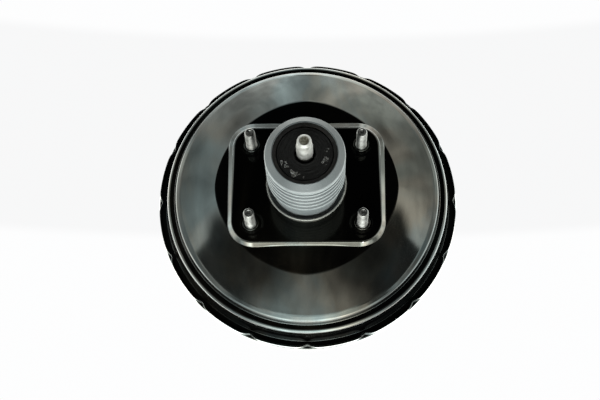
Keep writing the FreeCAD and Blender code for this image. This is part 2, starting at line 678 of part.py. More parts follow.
# ---------------------------------------------------------------- engine side, inside the front shell
inside = S["face_y"] - t
fp = new_body("front_reinforcement_plate")
sk = sketch(fp, "PlateOutline", "XZ_Plane", -(inside - S["front_plate_t"]))
circle(sk, 0.0, 0.0, S["front_plate_rad"])
circle(sk, 0.0, 0.0, S["pilot_rad"])
for sx in (-1, 1):
    circle(sk, S["mc_dx"] * (0.5 * sx), 0.0, S["shoulder_hole"])
prism(fp, sk, "Plate", S["front_plate_t"], "Pad", 1)

ms = new_body("master_cylinder_studs")
back_y = inside - S["front_plate_t"]
mc = [(S["mc_dx"] * (0.5 * sx), 0.0) for sx in (-1, 1)]
stud_stack(ms, "Stud", mc, [
    (back_y - 3.5, back_y, S["head_rad"]),
    (back_y, S["face_y"] + S["mc_len"] - 1.0, S["stud_rad"]),
    (back_y, S["face_y"], S["collar_rad"]),
    (S["face_y"] + S["mc_len"] - 1.0, S["face_y"] + S["mc_len"], S["stud_rad"] - 0.7),
])

cage = new_body("front_seal_cage")
revolve(cage, "Cage", [
    (8.0, 84.0), (18.5, 84.0), (18.5, 94.4), (24.4, 94.4), (24.4, back_y - 0.02), (17.3, back_y - 0.02),
    (17.3, 85.2), (8.0, 85.2),
])
fs = new_body("front_seal")
revolve(fs, "Seal", [
    (S["out_rad"] + 0.06, 87.4), (7.4, 85.3), (17.2, 85.3), (17.2, 91.5), (15.6, 91.5), (15.2, 87.6),
    (8.6, 87.6), (8.2, 91.5), (S["out_rad"] + 0.06, 89.0),
])
ss = new_body("front_spring_seat")
revolve(ss, "Seat", [
    (24.8, 86.5), (26.0, 86.5), (26.0, 94.2), (31.6, 94.2), (31.6, back_y - 0.02), (24.8, back_y - 0.02),
])
mr = new_body("main_return_spring")
helix(mr, "Coil", S["main_big"], S["main_wire"], 26.2 + S["main_wire"], 94.0 - 26.2 - 2 * S["main_wire"], S["main_turns"], -3.8)

# ---------------------------------------------------------------- check valve, about its own axis
at = Placement(Vector(S["cv_x"].value, 0, S["cv_z"].value), Rotation())


def on_boss(b):
    b.Placement = at
    b.setExpression("Placement.Base.x", S["cv_x"].text)
    b.setExpression("Placement.Base.z", S["cv_z"].text)
    return b


face = S["cv_face"]
gr = on_boss(new_body("check_valve_grommet"))
revolve(gr, "Grommet", [
    (6.0, face - 4.4), (12.0, face - 4.0), (12.6, face - t - 0.05), (S["cv_hole"] - 0.05, face - t - 0.05),
    (S["cv_hole"] - 0.05, face + 0.05), (12.6, face + 0.05), (12.0, face + 2.0), (6.0, face + 2.2),
])
cb = on_boss(new_body("check_valve_body"))
revolve(cb, "Housing", [
    (3.5, face - 7.5), (5.0, face - 7.5), (6.9, face - 5.6), (6.9, face - 4.6), (5.95, face - 4.5), (5.95, face + 2.3), (10.5, face + 2.3),
    (10.5, face + 14.5), (9.0, face + 16.0), (0.0, face + 16.0), (0.0, face + 14.2), (8.3, face + 14.2),
    (8.3, face + 4.0), (3.5, face + 4.0),
])
sk = sketch(cb, "NippleOutline", "YZ_Plane", -9.4)
circle(sk, face + 9.5, 0.0, S["cv_nipple"])
f = cb.newObject("PartDesign::Pad", "Nipple")
f.Profile = sk
f.Length = 28.6
f.Reversed = True
finish(cb, f)
sk = sketch(cb, "NippleRoot", "YZ_Plane", -9.4)
circle(sk, face + 9.5, 0.0, 6.3)
f = cb.newObject("PartDesign::Pad", "NippleShoulder")
f.Profile = sk
f.Length = 4.6
f.Reversed = True
finish(cb, f)
sk = sketch(cb, "NippleBore", "YZ_Plane", -7.0)
circle(sk, face + 9.5, 0.0, 2.7)
before = cb.Shape.Volume
f = cb.newObject("PartDesign::Pocket", "NippleBoreCut")
f.Profile = sk
f.Length = 36.0
f.Reversed = False
finish(cb, f)
if not cb.Shape.Volume < before - 200:
    raise RuntimeError("the nipple isn't bored")
cd = on_boss(new_body("check_valve_disc"))
revolve(cd, "Disc", [(0.0, face + 4.1), (6.2, face + 4.1), (6.2, face + 5.6), (2.0, face + 5.6), (2.0, face + 7.0), (0.0, face + 7.0)])
cs = on_boss(new_body("check_valve_spring"))
helix(cs, "Coil", 4.4, 0.35, face + 6.0, 7.7, 5.0)

# ---------------------------------------------------------------- check and write
doc.recompute()
for o in doc.Objects:
    bad = [s for s in o.State if s in ("Invalid", "Error")]
    if bad:
        raise RuntimeError("%s is %s" % (o.Name, ", ".join(o.State)))
os.makedirs("parts", exist_ok=True)
for b in made:
    shape = b.Shape
    if shape.isNull() or not shape.isValid() or not shape.Solids or shape.Volume <= 0:
        raise RuntimeError("%s has no valid solid" % b.Label)
for b in made:
    b.Shape.exportStep("parts/%s.step" % b.Label)
    bb = b.Shape.optimalBoundingBox(False)
    print("%-26s solids %d  faces %3d  volume %9.1f  y %7.2f..%7.2f  r<%6.2f" % (
        b.Label, len(b.Shape.Solids), len(b.Shape.Faces), b.Shape.Volume, bb.YMin, bb.YMax,
        max(abs(bb.XMin), abs(bb.XMax), abs(bb.ZMin), abs(bb.ZMax))))
print(len(made), "nodes")
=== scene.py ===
import json
import math
import random

import bmesh
import bpy
import numpy as np
from mathutils import Matrix, Vector


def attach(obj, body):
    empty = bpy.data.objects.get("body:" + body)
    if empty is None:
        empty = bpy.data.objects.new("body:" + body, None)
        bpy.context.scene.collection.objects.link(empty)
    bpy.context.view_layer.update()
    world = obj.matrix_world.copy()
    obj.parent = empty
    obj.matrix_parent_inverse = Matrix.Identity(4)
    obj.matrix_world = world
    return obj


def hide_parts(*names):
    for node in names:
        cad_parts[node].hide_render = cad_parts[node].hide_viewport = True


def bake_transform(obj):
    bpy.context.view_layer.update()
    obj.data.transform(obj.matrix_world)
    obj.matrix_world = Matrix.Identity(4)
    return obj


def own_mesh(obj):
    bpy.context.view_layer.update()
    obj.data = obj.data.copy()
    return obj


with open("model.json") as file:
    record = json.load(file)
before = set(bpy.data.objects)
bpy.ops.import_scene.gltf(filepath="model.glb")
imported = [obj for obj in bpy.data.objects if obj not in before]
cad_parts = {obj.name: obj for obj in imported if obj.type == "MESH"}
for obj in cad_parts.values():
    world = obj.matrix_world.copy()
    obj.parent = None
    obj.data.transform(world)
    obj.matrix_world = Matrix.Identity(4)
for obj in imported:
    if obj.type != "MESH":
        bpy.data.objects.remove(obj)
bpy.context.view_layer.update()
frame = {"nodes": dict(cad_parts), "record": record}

# Vacuum brake booster. The row frame: origin on the bulkhead mounting face,
# the axis along Y, pedal side towards -Y, engine side towards +Y, +Z up.
# Sizes in this script are written in millimetres and scaled once, in mesh().

nodes = frame["nodes"]
random.seed(7)
rng = np.random.default_rng(7)

MM = 0.001
T = 1.4                       # sheet thickness of the shells


# ------------------------------------------------------------------ mesh tools
def mesh(name, verts, faces, sharp=None, outward=True):
    """A mesh object from millimetre vertices, all faces smooth, edges sharp above the given angle."""
    me = bpy.data.meshes.new(name)
    me.from_pydata((np.asarray(verts, float) * MM).tolist(), [], faces)
    me.validate()
    if outward:
        bm = bmesh.new()
        bm.from_mesh(me)
        bmesh.ops.recalc_face_normals(bm, faces=bm.faces)
        bm.to_mesh(me)
        bm.free()
    me.polygons.foreach_set("use_smooth", [True] * len(me.polygons))
    if sharp:
        me.set_sharp_from_angle(angle=math.radians(sharp))
    me.update()
    ob = bpy.data.objects.new(name, me)
    bpy.context.scene.collection.objects.link(ob)
    return ob


def ring_faces(n, rows, closed, first=0):
    """Quads between rows of n vertices each, every row a closed ring."""
    out = []
    last = rows if closed else rows - 1
    for j in range(last):
        a, b = first + j * n, first + ((j + 1) % rows) * n
        out += [(a + i, a + (i + 1) % n, b + (i + 1) % n, b + i) for i in range(n)]
    return out


def loft(rings, closed=True, first=0):
    """Vertices and faces of stacked rings; each ring is an (n, 3) array."""
    n = len(rings[0])
    return np.vstack(rings), ring_faces(n, len(rings), closed, first)


def rounded(pts, closed=True, step=9.0, guard=0.14, share=0.49):
    """A polyline of (r, y, fillet) with its corners rounded, with guard points beside each arc and corner."""
    n = len(pts)
    P = [np.array(p[:2], float) for p in pts]
    R = [p[2] if len(p) > 2 else 0.0 for p in pts]
    out = []
    for i in range(n):
        if not closed and i in (0, n - 1):
            out.append([P[i]])
            continue
        a, b, c = P[i - 1], P[i], P[(i + 1) % n]
        u, v = (a - b), (c - b)
        lu, lv = np.linalg.norm(u), np.linalg.norm(v)
        u, v = u / lu, v / lv
        ang = math.acos(max(-1, min(1, float(u @ v))))
        if R[i] <= 0 or ang > math.pi - 0.01:
            out.append([b])
            continue
        cut = R[i] / math.tan(ang / 2)
        top = share * min(lu, lv)
        r = R[i] if cut <= top else top * math.tan(ang / 2)
        cut = min(cut, top)
        centre = b + (u + v) / np.linalg.norm(u + v) * (r / math.sin(ang / 2))
        p0, p1 = b + u * cut, b + v * cut
        a0 = math.atan2(*(p0 - centre)[::-1])
        a1 = math.atan2(*(p1 - centre)[::-1])
        d = (a1 - a0 + math.pi) % (2 * math.pi) - math.pi
        k = max(2, int(abs(math.degrees(d)) / step + 0.5))
        out.append([centre + r * np.array([math.cos(a0 + d * t / k), math.sin(a0 + d * t / k)]) for t in range(k + 1)])
    line = []
    for i, group in enumerate(out):
        if i:
            p, q = line[-1], group[0]
            gap = np.linalg.norm(q - p)
            if gap > guard * 4:
                w = (q - p) / gap * guard
                line += [p + w, q - w]
        line += group
    if closed:
        p, q = line[-1], line[0]
        gap = np.linalg.norm(q - p)
        if gap > guard * 4:
            w = (q - p) / gap * guard
            line += [p + w, q - w]
    keep = [line[0]]
    for p in line[1:]:
        if np.linalg.norm(p - keep[-1]) > 1e-4:
            keep.append(p)
    if closed and np.linalg.norm(keep[0] - keep[-1]) < 1e-4:
        keep.pop()
    return keep


def circle(n):
    a = np.arange(n) * 2 * math.pi / n
    return np.cos(a), np.sin(a)


def lathe(line, n=128, at=(0.0, 0.0), closed=True, first=0):
    """Vertices and faces of a profile turned about a line parallel to Y. A profile end on the axis gets one vertex."""
    c, s = circle(n)
    if closed:
        rings = [np.stack([at[0] + r * c, np.full(n, y), at[1] + r * s], 1) for r, y in line]
        return loft(rings, True, first)
    poles = [line[0][0] < 1e-6, line[-1][0] < 1e-6]
    body = line[(1 if poles[0] else 0):(len(line) - 1 if poles[1] else len(line))]
    rings = [np.stack([at[0] + r * c, np.full(n, y), at[1] + r * s], 1) for r, y in body]
    v, f = loft(rings, False, first)
    rows = len(body)
    if poles[0]:
        v = np.vstack([v, [[at[0], line[0][1], at[1]]]])
        k = first + len(v) - 1
        f += [(first + (i + 1) % n, first + i, k) for i in range(n)]
    if poles[1]:
        v = np.vstack([v, [[at[0], line[-1][1], at[1]]]])
        k = first + len(v) - 1
        b = first + (rows - 1) * n
        f += [(b + i, b + (i + 1) % n, k) for i in range(n)]
    return v, f


def merged(parts):
    """Several (verts, faces) as one, faces renumbered."""
    vs, fs, base = [], [], 0
    for v, f in parts:
        vs.append(np.asarray(v, float))
        fs += [tuple(i + base for i in q) for q in f]
        base += len(v)
    return np.vstack(vs), fs


def smoothmax(a, b, k):
    h = np.maximum(k - np.abs(a - b), 0) / k
    return np.maximum(a, b) + h * h * k / 4


def smoothmin(a, b, k):
    return -smoothmax(-np.asarray(a), -np.asarray(b), k)


def smoothstep(t):
    t = np.clip(t, 0, 1)
    return t * t * (3 - 2 * t)


def coil(radius0, radius1, y0, y1, turns, wire, at=(0.0, 0.0), dead=0.8, per_turn=72, sides=14, start=0.0):
    """A compression spring about a line parallel to Y: the end coils lie flat, their tips are rounded."""
    steps = int(turns * per_turn)
    t = np.linspace(0, turns, steps + 1)
    lead = np.ones_like(t)
    lead = smoothstep((t - dead * 0.35) / dead) * smoothstep((turns - t - dead * 0.35) / dead)
    rise = np.concatenate([[0], np.cumsum((lead[1:] + lead[:-1]) / 2)])
    flat = wire * 2.06 * np.minimum(t, turns) / turns * 0
    y = y0 + wire + rise / rise[-1] * (y1 - y0 - 2 * wire) + flat
    r = radius0 + (radius1 - radius0) * (y - y0) / (y1 - y0)
    a = start + t * 2 * math.pi
    p = np.stack([at[0] + r * np.cos(a), y, at[1] + r * np.sin(a)], 1)
    d = np.gradient(p, axis=0)
    d /= np.linalg.norm(d, axis=1)[:, None]
    out = np.stack([np.cos(a), np.zeros_like(a), np.sin(a)], 1)
    out -= (out * d).sum(1)[:, None] * d
    out /= np.linalg.norm(out, axis=1)[:, None]
    up = np.cross(d, out)
    c, s = circle(sides)
    rings = []
    for i in range(len(p)):
        rings.append(p[i] + wire * (c[:, None] * out[i] + s[:, None] * up[i]))
    for end, sign in ((0, -1), (-1, 1)):
        caps = []
        for q in (0.35, 0.7, 0.92):
            caps.append(p[end] + d[end] * sign * wire * q * 0.5
                        + wire * math.sqrt(1 - q * q) * (c[:, None] * out[end] + s[:, None] * up[end]))
        rings = caps[::-1] + rings if end == 0 else rings + caps
    v, f = loft(rings, False)
    n = sides
    f.append(tuple(range(n))[::-1])
    f.append(tuple(range(len(v) - n, len(v))))
    return v, f


def thread(r_crest, depth, pitch, y0, y1, n=56, per_pitch=12, at=(0.0, 0.0), tip=None, sign=1):
    """Rings of a threaded shank from y0 to y1. The thread fades over the first and last turn; tip is a chamfer."""
    steps = max(2, int(abs(y1 - y0) / pitch * per_pitch))
    a = np.arange(n) * 2 * math.pi / n
    rings = []
    for y in np.linspace(y0, y1, steps + 1):
        ph = (y / pitch * sign - a / (2 * math.pi)) % 1.0
        tri = np.abs(ph * 2 - 1)
        prof = smoothstep((tri - 0.10) / 0.72)
        fade = min(1.0, abs(y - y0) / (pitch * 0.8), abs(y1 - y) / (pitch * 0.3) + 0.25)
        r = r_crest - depth * prof * fade
        if tip is not None:
            r = np.minimum(r, r_crest - np.maximum(0, (y - tip) * (1 if y1 > y0 else -1)) * 0.75)
        rings.append(np.stack([at[0] + r * np.cos(a), np.full(n, y), at[1] + r * np.sin(a)], 1))
    return rings


def disc_rings(line, n, at=(0.0, 0.0)):
    c, s = circle(n)
    return [np.stack([at[0] + r * c, np.full(n, y), at[1] + r * s], 1) for r, y in line]


def capped(rings):
    """Stacked rings with a fan on a middle vertex at each end."""
    v, f = loft(rings, False)
    n = len(rings[0])
    for row, flip in ((0, True), (len(rings) - 1, False)):
        mid = rings[row].mean(0)
        v = np.vstack([v, [mid]])
        k, b = len(v) - 1, row * n
        f += [((b + (i + 1) % n, b + i, k) if flip else (b + i, b + (i + 1) % n, k)) for i in range(n)]
    return v, f


# ------------------------------------------------------------------ materials
class Mat:
    """Builds one node material. Values that are the same all over stay on the shader's own sockets."""

    def __init__(self, name):
        self.m = bpy.data.materials.new(name)
        self.m.use_nodes = True
        self.t = self.m.node_tree
        self.t.nodes.clear()
        self.out = self.t.nodes.new("ShaderNodeOutputMaterial")
        self.b = self.t.nodes.new("ShaderNodeBsdfPrincipled")
        self.t.links.new(self.b.outputs[0], self.out.inputs[0])
        self.tc = self.t.nodes.new("ShaderNodeTexCoord")

    def node(self, kind, **props):
        n = self.t.nodes.new(kind)
        for k, v in props.items():
            setattr(n, k, v)
        return n

    def link(self, a, b):
        self.t.links.new(a, b)

    def put(self, **values):
        for k, v in values.items():
            s = self.b.inputs[k.replace("_", " ")]
            s.default_value = v
        return self

    def coords(self, scale=(1, 1, 1), rotation=(0, 0, 0), location=(0, 0, 0)):
        n = self.node("ShaderNodeMapping")
        n.inputs["Scale"].default_value = scale
        n.inputs["Rotation"].default_value = rotation
        n.inputs["Location"].default_value = location
        self.link(self.tc.outputs["Object"], n.inputs["Vector"])
        return n.outputs[0]

    def noise(self, scale, detail=4.0, rough=0.55, vec=None, distortion=0.0):
        n = self.node("ShaderNodeTexNoise")
        n.inputs["Scale"].default_value = scale
        n.inputs["Detail"].default_value = detail
        n.inputs["Roughness"].default_value = rough
        n.inputs["Distortion"].default_value = distortion
        self.link(vec if vec is not None else self.tc.outputs["Object"], n.inputs["Vector"])
        return n.outputs["Fac"]

    def voronoi(self, scale, vec=None, feature="F1", rand=1.0):
        n = self.node("ShaderNodeTexVoronoi", feature=feature)
        n.inputs["Scale"].default_value = scale
        n.inputs["Randomness"].default_value = rand
        self.link(vec if vec is not None else self.tc.outputs["Object"], n.inputs["Vector"])
        return n.outputs["Distance"]

    def ramp(self, fac, lo, hi, a=0.0, b=1.0, smooth=True):
        n = self.node("ShaderNodeMapRange")
        n.interpolation_type = "SMOOTHSTEP" if smooth else "LINEAR"
        n.inputs["From Min"].default_value = lo
        n.inputs["From Max"].default_value = hi
        n.inputs["To Min"].default_value = a
        n.inputs["To Max"].default_value = b
        self.link(fac, n.inputs["Value"])
        return n.outputs["Result"]

    def math(self, op, a, b=None, c=None):
        n = self.node("ShaderNodeMath", operation=op)
        for i, x in enumerate((a, b, c)):
            if x is None:
                continue
            if isinstance(x, (int, float)):
                n.inputs[i].default_value = x
            else:
                self.link(x, n.inputs[i])
        return n.outputs[0]

    def mix(self, fac, a, b):
        n = self.node("ShaderNodeMix", data_type="RGBA")
        for key, x in ((0, fac), (6, a), (7, b)):
            if isinstance(x, (int, float)):
                n.inputs[key].default_value = x
            elif isinstance(x, (tuple, list)):
                n.inputs[key].default_value = (*x[:3], 1.0)
            else:
                self.link(x, n.inputs[key])
        return n.outputs[2]

    def colour(self, x):
        self.link(x, self.b.inputs["Base Color"])
        return self

    def rough(self, x):
        self.link(x, self.b.inputs["Roughness"])
        return self

    def bump(self, height, distance, strength=1.0, also=None, socket="Normal"):
        n = self.node("ShaderNodeBump")
        n.inputs["Strength"].default_value = strength
        n.inputs["Distance"].default_value = distance
        self.link(height, n.inputs["Height"])
        if also is not None:
            self.link(also, n.inputs["Normal"])
        self.link(n.outputs[0], self.b.inputs[socket])
        return n.outputs[0]

    def axis_radius(self, cx=0.0, cz=0.0):
        """Distance from a line parallel to Y, in metres."""
        s = self.node("ShaderNodeSeparateXYZ")
        self.link(self.tc.outputs["Object"], s.inputs[0])
        x = self.math("SUBTRACT", s.outputs[0], cx)
        z = self.math("SUBTRACT", s.outputs[2], cz)
        return self.math("SQRT", self.math("ADD", self.math("MULTIPLY", x, x), self.math("MULTIPLY", z, z)))

    def spot(self, centre, radius, soft=0.3):
        """1 inside a small ball round a point, 0 outside."""
        n = self.node("ShaderNodeVectorMath", operation="DISTANCE")
        self.link(self.tc.outputs["Object"], n.inputs[0])
        n.inputs[1].default_value = tuple(c * MM for c in centre)
        return self.ramp(n.outputs["Value"], radius * MM, radius * MM * (1 - soft), 0.0, 1.0)


def black_paint(name="gloss_black_paint"):
    m = Mat(name)
    # thin dusty film in drifts that run down the face, brown-grey and green-grey
    drift = m.noise(11.0, 4.0, 0.6, m.coords((1.0, 1.0, 0.34)), 0.35)
    patch = m.noise(24.0, 5.0, 0.62, m.coords((1.0, 1.0, 0.5), (0.2, 0.1, 0.3)), 0.6)
    film = m.math("MULTIPLY", m.ramp(drift, 0.42, 0.72), m.ramp(patch, 0.35, 0.75))
    hue = m.noise(9.0, 2.0, 0.5, m.coords((1, 1, 0.6), (0, 0, 0.7), (0.3, 0, 0)))
    tint = m.mix(m.ramp(hue, 0.42, 0.6), (0.0075, 0.0062, 0.0042), (0.0042, 0.0066, 0.0062))
    col = m.mix(film, (0.00035, 0.00035, 0.0004), tint)
    m.colour(col)
    # wiped gloss: broad soft changes and fine handling marks
    fine = m.noise(160.0, 3.0, 0.6, m.coords((1.0, 1.0, 0.2)))
    r = m.math("ADD", m.ramp(drift, 0.3, 0.75, 0.05, 0.17), m.ramp(fine, 0.5, 0.8, 0.0, 0.07))
    m.rough(r)
    wave = m.noise(15.0, 2.0, 0.5, m.coords((1.0, 1.0, 0.62)), 0.2)
    peel = m.noise(900.0, 2.0, 0.5)
    b1 = m.bump(wave, 0.0011, 0.55)
    m.bump(peel, 0.00002, 0.18, also=b1)
    # the film's depth differs from place to place: blue-green, olive and plain patches, drawn down and outwards
    sheen = m.noise(13.0, 4.0, 0.62, m.coords((1.0, 1.0, 0.4), (0.0, 0.25, 0.1), (0.11, 0.0, 0.05)), 0.7)
    streak = m.noise(46.0, 4.0, 0.6, m.coords((1.0, 1.0, 0.22), (0.0, 0.12, 0.0), (0.0, 0.2, 0.0)), 0.3)
    warm = m.mix(m.ramp(sheen, 0.42, 0.60), (0.80, 0.985, 0.985), (0.98, 0.96, 0.80))
    m.link(warm, m.b.inputs["Specular Tint"])
    split = m.node("ShaderNodeSeparateXYZ")
    m.link(m.tc.outputs["Object"], split.inputs[0])
    flat = m.ramp(m.math("ABSOLUTE", split.outputs[1]), 0.00025, 0.0006, 0.30, 1.0)
    # the canister behind the flange is duller
    flat = m.math("MULTIPLY", flat, m.ramp(split.outputs[1], 0.0485, 0.054, 1.0, 0.30))
    level = m.math("MULTIPLY", m.ramp(streak, 0.3, 0.7, 0.42, 0.62), m.ramp(sheen, 0.3, 0.7, 0.9, 1.1))
    m.link(m.math("MULTIPLY", level, flat), m.b.inputs["Specular IOR Level"])
    m.link(m.math("MULTIPLY", flat, 0.22), m.b.inputs["Coat Weight"])
    m.put(Coat_Roughness=0.03)
    # two paint chips at the pad's corner
    chips = m.math("MAXIMUM", m.spot((41.9, 0.9, -46.0), 0.75, 0.4), m.spot((44.8, 1.2, -46.2), 0.8, 0.4))
    # the neck ring's turned-up top is painted light grey like bare metal: this is a painted highlight for the bright
    # line along the ring
    ring = m.math("MULTIPLY", m.ramp(m.axis_radius(), 0.0283, 0.0285), m.ramp(m.axis_radius(), 0.0301, 0.0305, 1.0, 0.0))
    ring = m.math("MULTIPLY", ring, m.ramp(m.math("MULTIPLY", split.outputs[1], -1.0), 0.0010, 0.0016))
    ring = m.math("MULTIPLY", ring, m.ramp(m.noise(140.0, 4.0, 0.6), 0.3, 0.6, 0.72, 1.0))
    lightened = m.mix(ring, col, (0.125, 0.128, 0.122))
    m.colour(m.mix(chips, lightened, (0.62, 0.62, 0.60)))
    return m.m


def grey_rubber():
    m = Mat("grey_boot_rubber")
    cloud = m.noise(26.0, 5.0, 0.6)
    grain = m.noise(2600.0, 3.0, 0.6)
    speck = m.voronoi(1250.0)
    base = m.mix(m.ramp(cloud, 0.3, 0.7), (0.038, 0.046, 0.0485), (0.053, 0.062, 0.065))
    rad = m.axis_radius()
    # the pleat crests are lighter: rubbed wear
    lightened = m.math("MULTIPLY", m.ramp(rad, 0.02835, 0.02878), m.ramp(m.noise(210.0, 4.0), 0.25, 0.6, 0.55, 1.0))
    c = m.mix(lightened, base, (0.095, 0.108, 0.111))
    c = m.mix(m.ramp(speck, 0.16, 0.07, 0.0, 0.55), c, (0.26, 0.28, 0.28))
    m.colour(c)
    m.rough(m.ramp(cloud, 0.3, 0.7, 0.42, 0.60))
    b = m.bump(grain, 0.00006, 0.5)
    m.bump(m.noise(420.0, 3.0), 0.00012, 0.35, also=b)
    m.put(Specular_IOR_Level=0.45, Sheen_Weight=0.08, Sheen_Roughness=0.5)
    return m.m


def zinc(name, low, high, rough=0.3, streak=(1.0, 0.12, 1.0), stain=(0.10, 0.095, 0.085), amount=0.5, scratch=0.00003):
    m = Mat(name)
    cloud = m.noise(120.0, 5.0, 0.62)
    draw = m.noise(900.0, 4.0, 0.6, m.coords(streak))
    c = m.mix(m.ramp(cloud, 0.35, 0.68), low, high)
    c = m.mix(m.math("MULTIPLY", m.ramp(m.noise(60.0, 6.0, 0.7), 0.52, 0.75), amount), c, stain)
    m.colour(c)
    m.rough(m.math("ADD", m.ramp(cloud, 0.3, 0.7, rough - 0.06, rough + 0.10), m.ramp(draw, 0.4, 0.7, 0.0, 0.09)))
    b = m.bump(draw, scratch, 0.5)
    m.bump(m.voronoi(700.0, feature="F1"), 0.00002, 0.3, also=b)
    m.put(Metallic=1.0)
    return m.m


def rod_metal():
    """Turned and plated rod: bright sides, a dull sawn end, and painted shade, near black, on the length that runs into
    the foam's hole.
    """
    m = Mat("plated_turned_rod")
    sep = m.node("ShaderNodeSeparateXYZ")
    m.link(m.tc.outputs["Object"], sep.inputs[0])
    rad = m.axis_radius()
    cloud = m.noise(170.0, 4.0, 0.62)
    draw = m.noise(900.0, 4.0, 0.6, m.coords((1.0, 0.12, 1.0)))
    c = m.mix(m.ramp(cloud, 0.35, 0.68), (0.19, 0.19, 0.181), (0.26, 0.26, 0.25))
    dull = m.math("MULTIPLY", m.ramp(rad, 0.0033, 0.0031), m.ramp(sep.outputs[1], -0.0893, -0.0896))
    c = m.mix(dull, c, m.mix(m.ramp(m.noise(520.0, 4.0, 0.7), 0.4, 0.62), (0.085, 0.078, 0.058), (0.23, 0.22, 0.185)))
    # painted shade: the rod is coloured near black from where it enters the foam's hole, standing in for the shadow
    # there
    wobble = m.math("ADD", sep.outputs[1], m.ramp(m.noise(240.0, 3.0), 0.3, 0.7, -0.0004, 0.0004))
    foam_hole_shade = m.ramp(wobble, -0.0672, -0.0663)
    c = m.mix(m.math("MULTIPLY", foam_hole_shade, 0.97), c, (0.010, 0.010, 0.009))
    m.colour(c)
    r = m.math("ADD", m.ramp(cloud, 0.3, 0.7, 0.50, 0.62), m.ramp(draw, 0.4, 0.7, 0.0, 0.08))
    m.rough(m.math("ADD", r, m.math("MULTIPLY", dull, 0.25)))
    b = m.bump(draw, 0.00003, 0.5)
    m.bump(m.voronoi(700.0, feature="F1"), 0.00002, 0.3, also=b)
    m.put(Metallic=1.0)
    return m.m


def rubber(name, base=(0.012, 0.012, 0.0125), dust=(0.035, 0.034, 0.032), rough=0.5):
    m = Mat(name)
    cloud = m.noise(45.0, 5.0, 0.62)
    c = m.mix(m.ramp(cloud, 0.45, 0.8, 0.0, 0.8), base, dust)
    m.colour(c)
    m.rough(m.ramp(cloud, 0.3, 0.7, rough - 0.08, rough + 0.12))
    b = m.bump(m.noise(1800.0, 3.0), 0.00004, 0.5)
    m.bump(m.noise(240.0, 3.0), 0.00010, 0.25, also=b)
    m.put(Specular_IOR_Level=0.42)
    return m.m


def plastic(name, base, dust, rough=0.42, fibre=True):
    m = Mat(name)
    cloud = m.noise(55.0, 4.0, 0.6)
    flow = m.noise(520.0, 4.0, 0.65, m.coords((1.0, 0.25, 1.0)))
    c = m.mix(m.ramp(cloud, 0.42, 0.75, 0.0, 0.7), base, dust)
    if fibre:
        c = m.mix(m.ramp(flow, 0.6, 0.78, 0.0, 0.5), c, tuple(x * 2.2 + 0.02 for x in base))
    m.colour(c)
    m.rough(m.ramp(flow, 0.3, 0.7, rough - 0.06, rough + 0.12))
    b = m.bump(flow, 0.00003, 0.4)
    m.bump(m.noise(1500.0, 2.0), 0.00002, 0.4, also=b)
    return m.m


def steel(name, low=(0.42, 0.415, 0.40), high=(0.56, 0.555, 0.54), rough=0.32):
    m = Mat(name)
    cloud = m.noise(40.0, 5.0, 0.62)
    oil = m.noise(18.0, 3.0, 0.55, m.coords((1, 1, 0.6)), 0.5)
    scr = m.noise(1300.0, 3.0, 0.6, m.coords((0.15, 1.0, 1.0)))
    c = m.mix(m.ramp(cloud, 0.35, 0.7), low, high)
    c = m.mix(m.ramp(oil, 0.5, 0.8, 0.0, 0.55), c, (0.22, 0.18, 0.13))
    m.colour(c)
    m.rough(m.math("ADD", m.ramp(oil, 0.4, 0.7, rough - 0.06, rough + 0.08), m.ramp(scr, 0.45, 0.75, 0.0, 0.1)))
    m.bump(scr, 0.00002, 0.4)
    m.put(Metallic=1.0)
    return m.m


def yellow_zinc():
    m = Mat("yellow_passivated_zinc")
    hue = m.noise(70.0, 4.0, 0.6, None, 0.8)
    film = m.noise(160.0, 4.0, 0.6)
    c = m.mix(m.ramp(hue, 0.35, 0.65), (0.62, 0.50, 0.22), (0.70, 0.60, 0.36))
    c = m.mix(m.ramp(film, 0.55, 0.75, 0.0, 0.5), c, (0.50, 0.34, 0.36))
    m.colour(c)
    m.rough(m.ramp(film, 0.3, 0.7, 0.24, 0.38))
    m.bump(m.noise(900.0, 3.0, 0.6, m.coords((1, 0.15, 1))), 0.00002, 0.4)
    m.put(Metallic=1.0)
    return m.m


def foam_black():
    m = Mat("open_cell_foam")
    cell = m.voronoi(1500.0)
    big = m.noise(300.0, 5.0, 0.65)
    rad = m.axis_radius()
    turn = m.math("SINE", m.math("MULTIPLY", rad, 3300.0))
    c = m.mix(m.ramp(cell, 0.1, 0.6), (0.0012, 0.0012, 0.0012), (0.0045, 0.0045, 0.0044))
    c = m.mix(m.ramp(big, 0.6, 0.8, 0.0, 0.45), c, (0.014, 0.0135, 0.0125))
    m.colour(c)
    m.rough(m.ramp(big, 0.4, 0.7, 0.55, 0.85))
    b = m.bump(cell, 0.0003, 0.7)
    b = m.bump(big, 0.0004, 0.5, also=b)
    m.bump(turn, 0.00012, 0.35, also=b)
    m.put(Specular_IOR_Level=0.10)
    return m.m


def felt_grey():
    m = Mat("grey_felt")
    f1 = m.noise(1700.0, 5.0, 0.7, m.coords((1.0, 0.2, 1.0)))
    f2 = m.noise(1500.0, 5.0, 0.7, m.coords((0.2, 1.0, 0.6), (0.3, 0.2, 0.9)))
    c = m.mix(m.ramp(m.math("ADD", f1, f2), 0.7, 1.3), (0.16, 0.155, 0.14), (0.42, 0.41, 0.38))
    m.colour(c)
    m.put(Roughness=0.92, Sheen_Weight=0.4, Sheen_Roughness=0.6)
    m.bump(m.math("ADD", f1, f2), 0.0004, 0.8)
    return m.m


def grease():
    m = Mat("clear_grease")
    n = m.noise(500.0, 4.0, 0.6)
    m.colour(m.mix(m.ramp(n, 0.35, 0.7), (0.008, 0.008, 0.007), (0.055, 0.054, 0.048)))
    m.rough(m.ramp(n, 0.3, 0.7, 0.06, 0.20))
    m.bump(n, 0.00005, 0.5)
    m.put(IOR=1.48, Coat_Weight=0.8, Coat_Roughness=0.04, Specular_IOR_Level=0.9)
    return m.m


def set_mat(ob, mat):
    if not ob.data.materials:
        ob.data.materials.append(mat)
    else:
        for i in range(len(ob.data.materials)):
            ob.data.materials[i] = mat


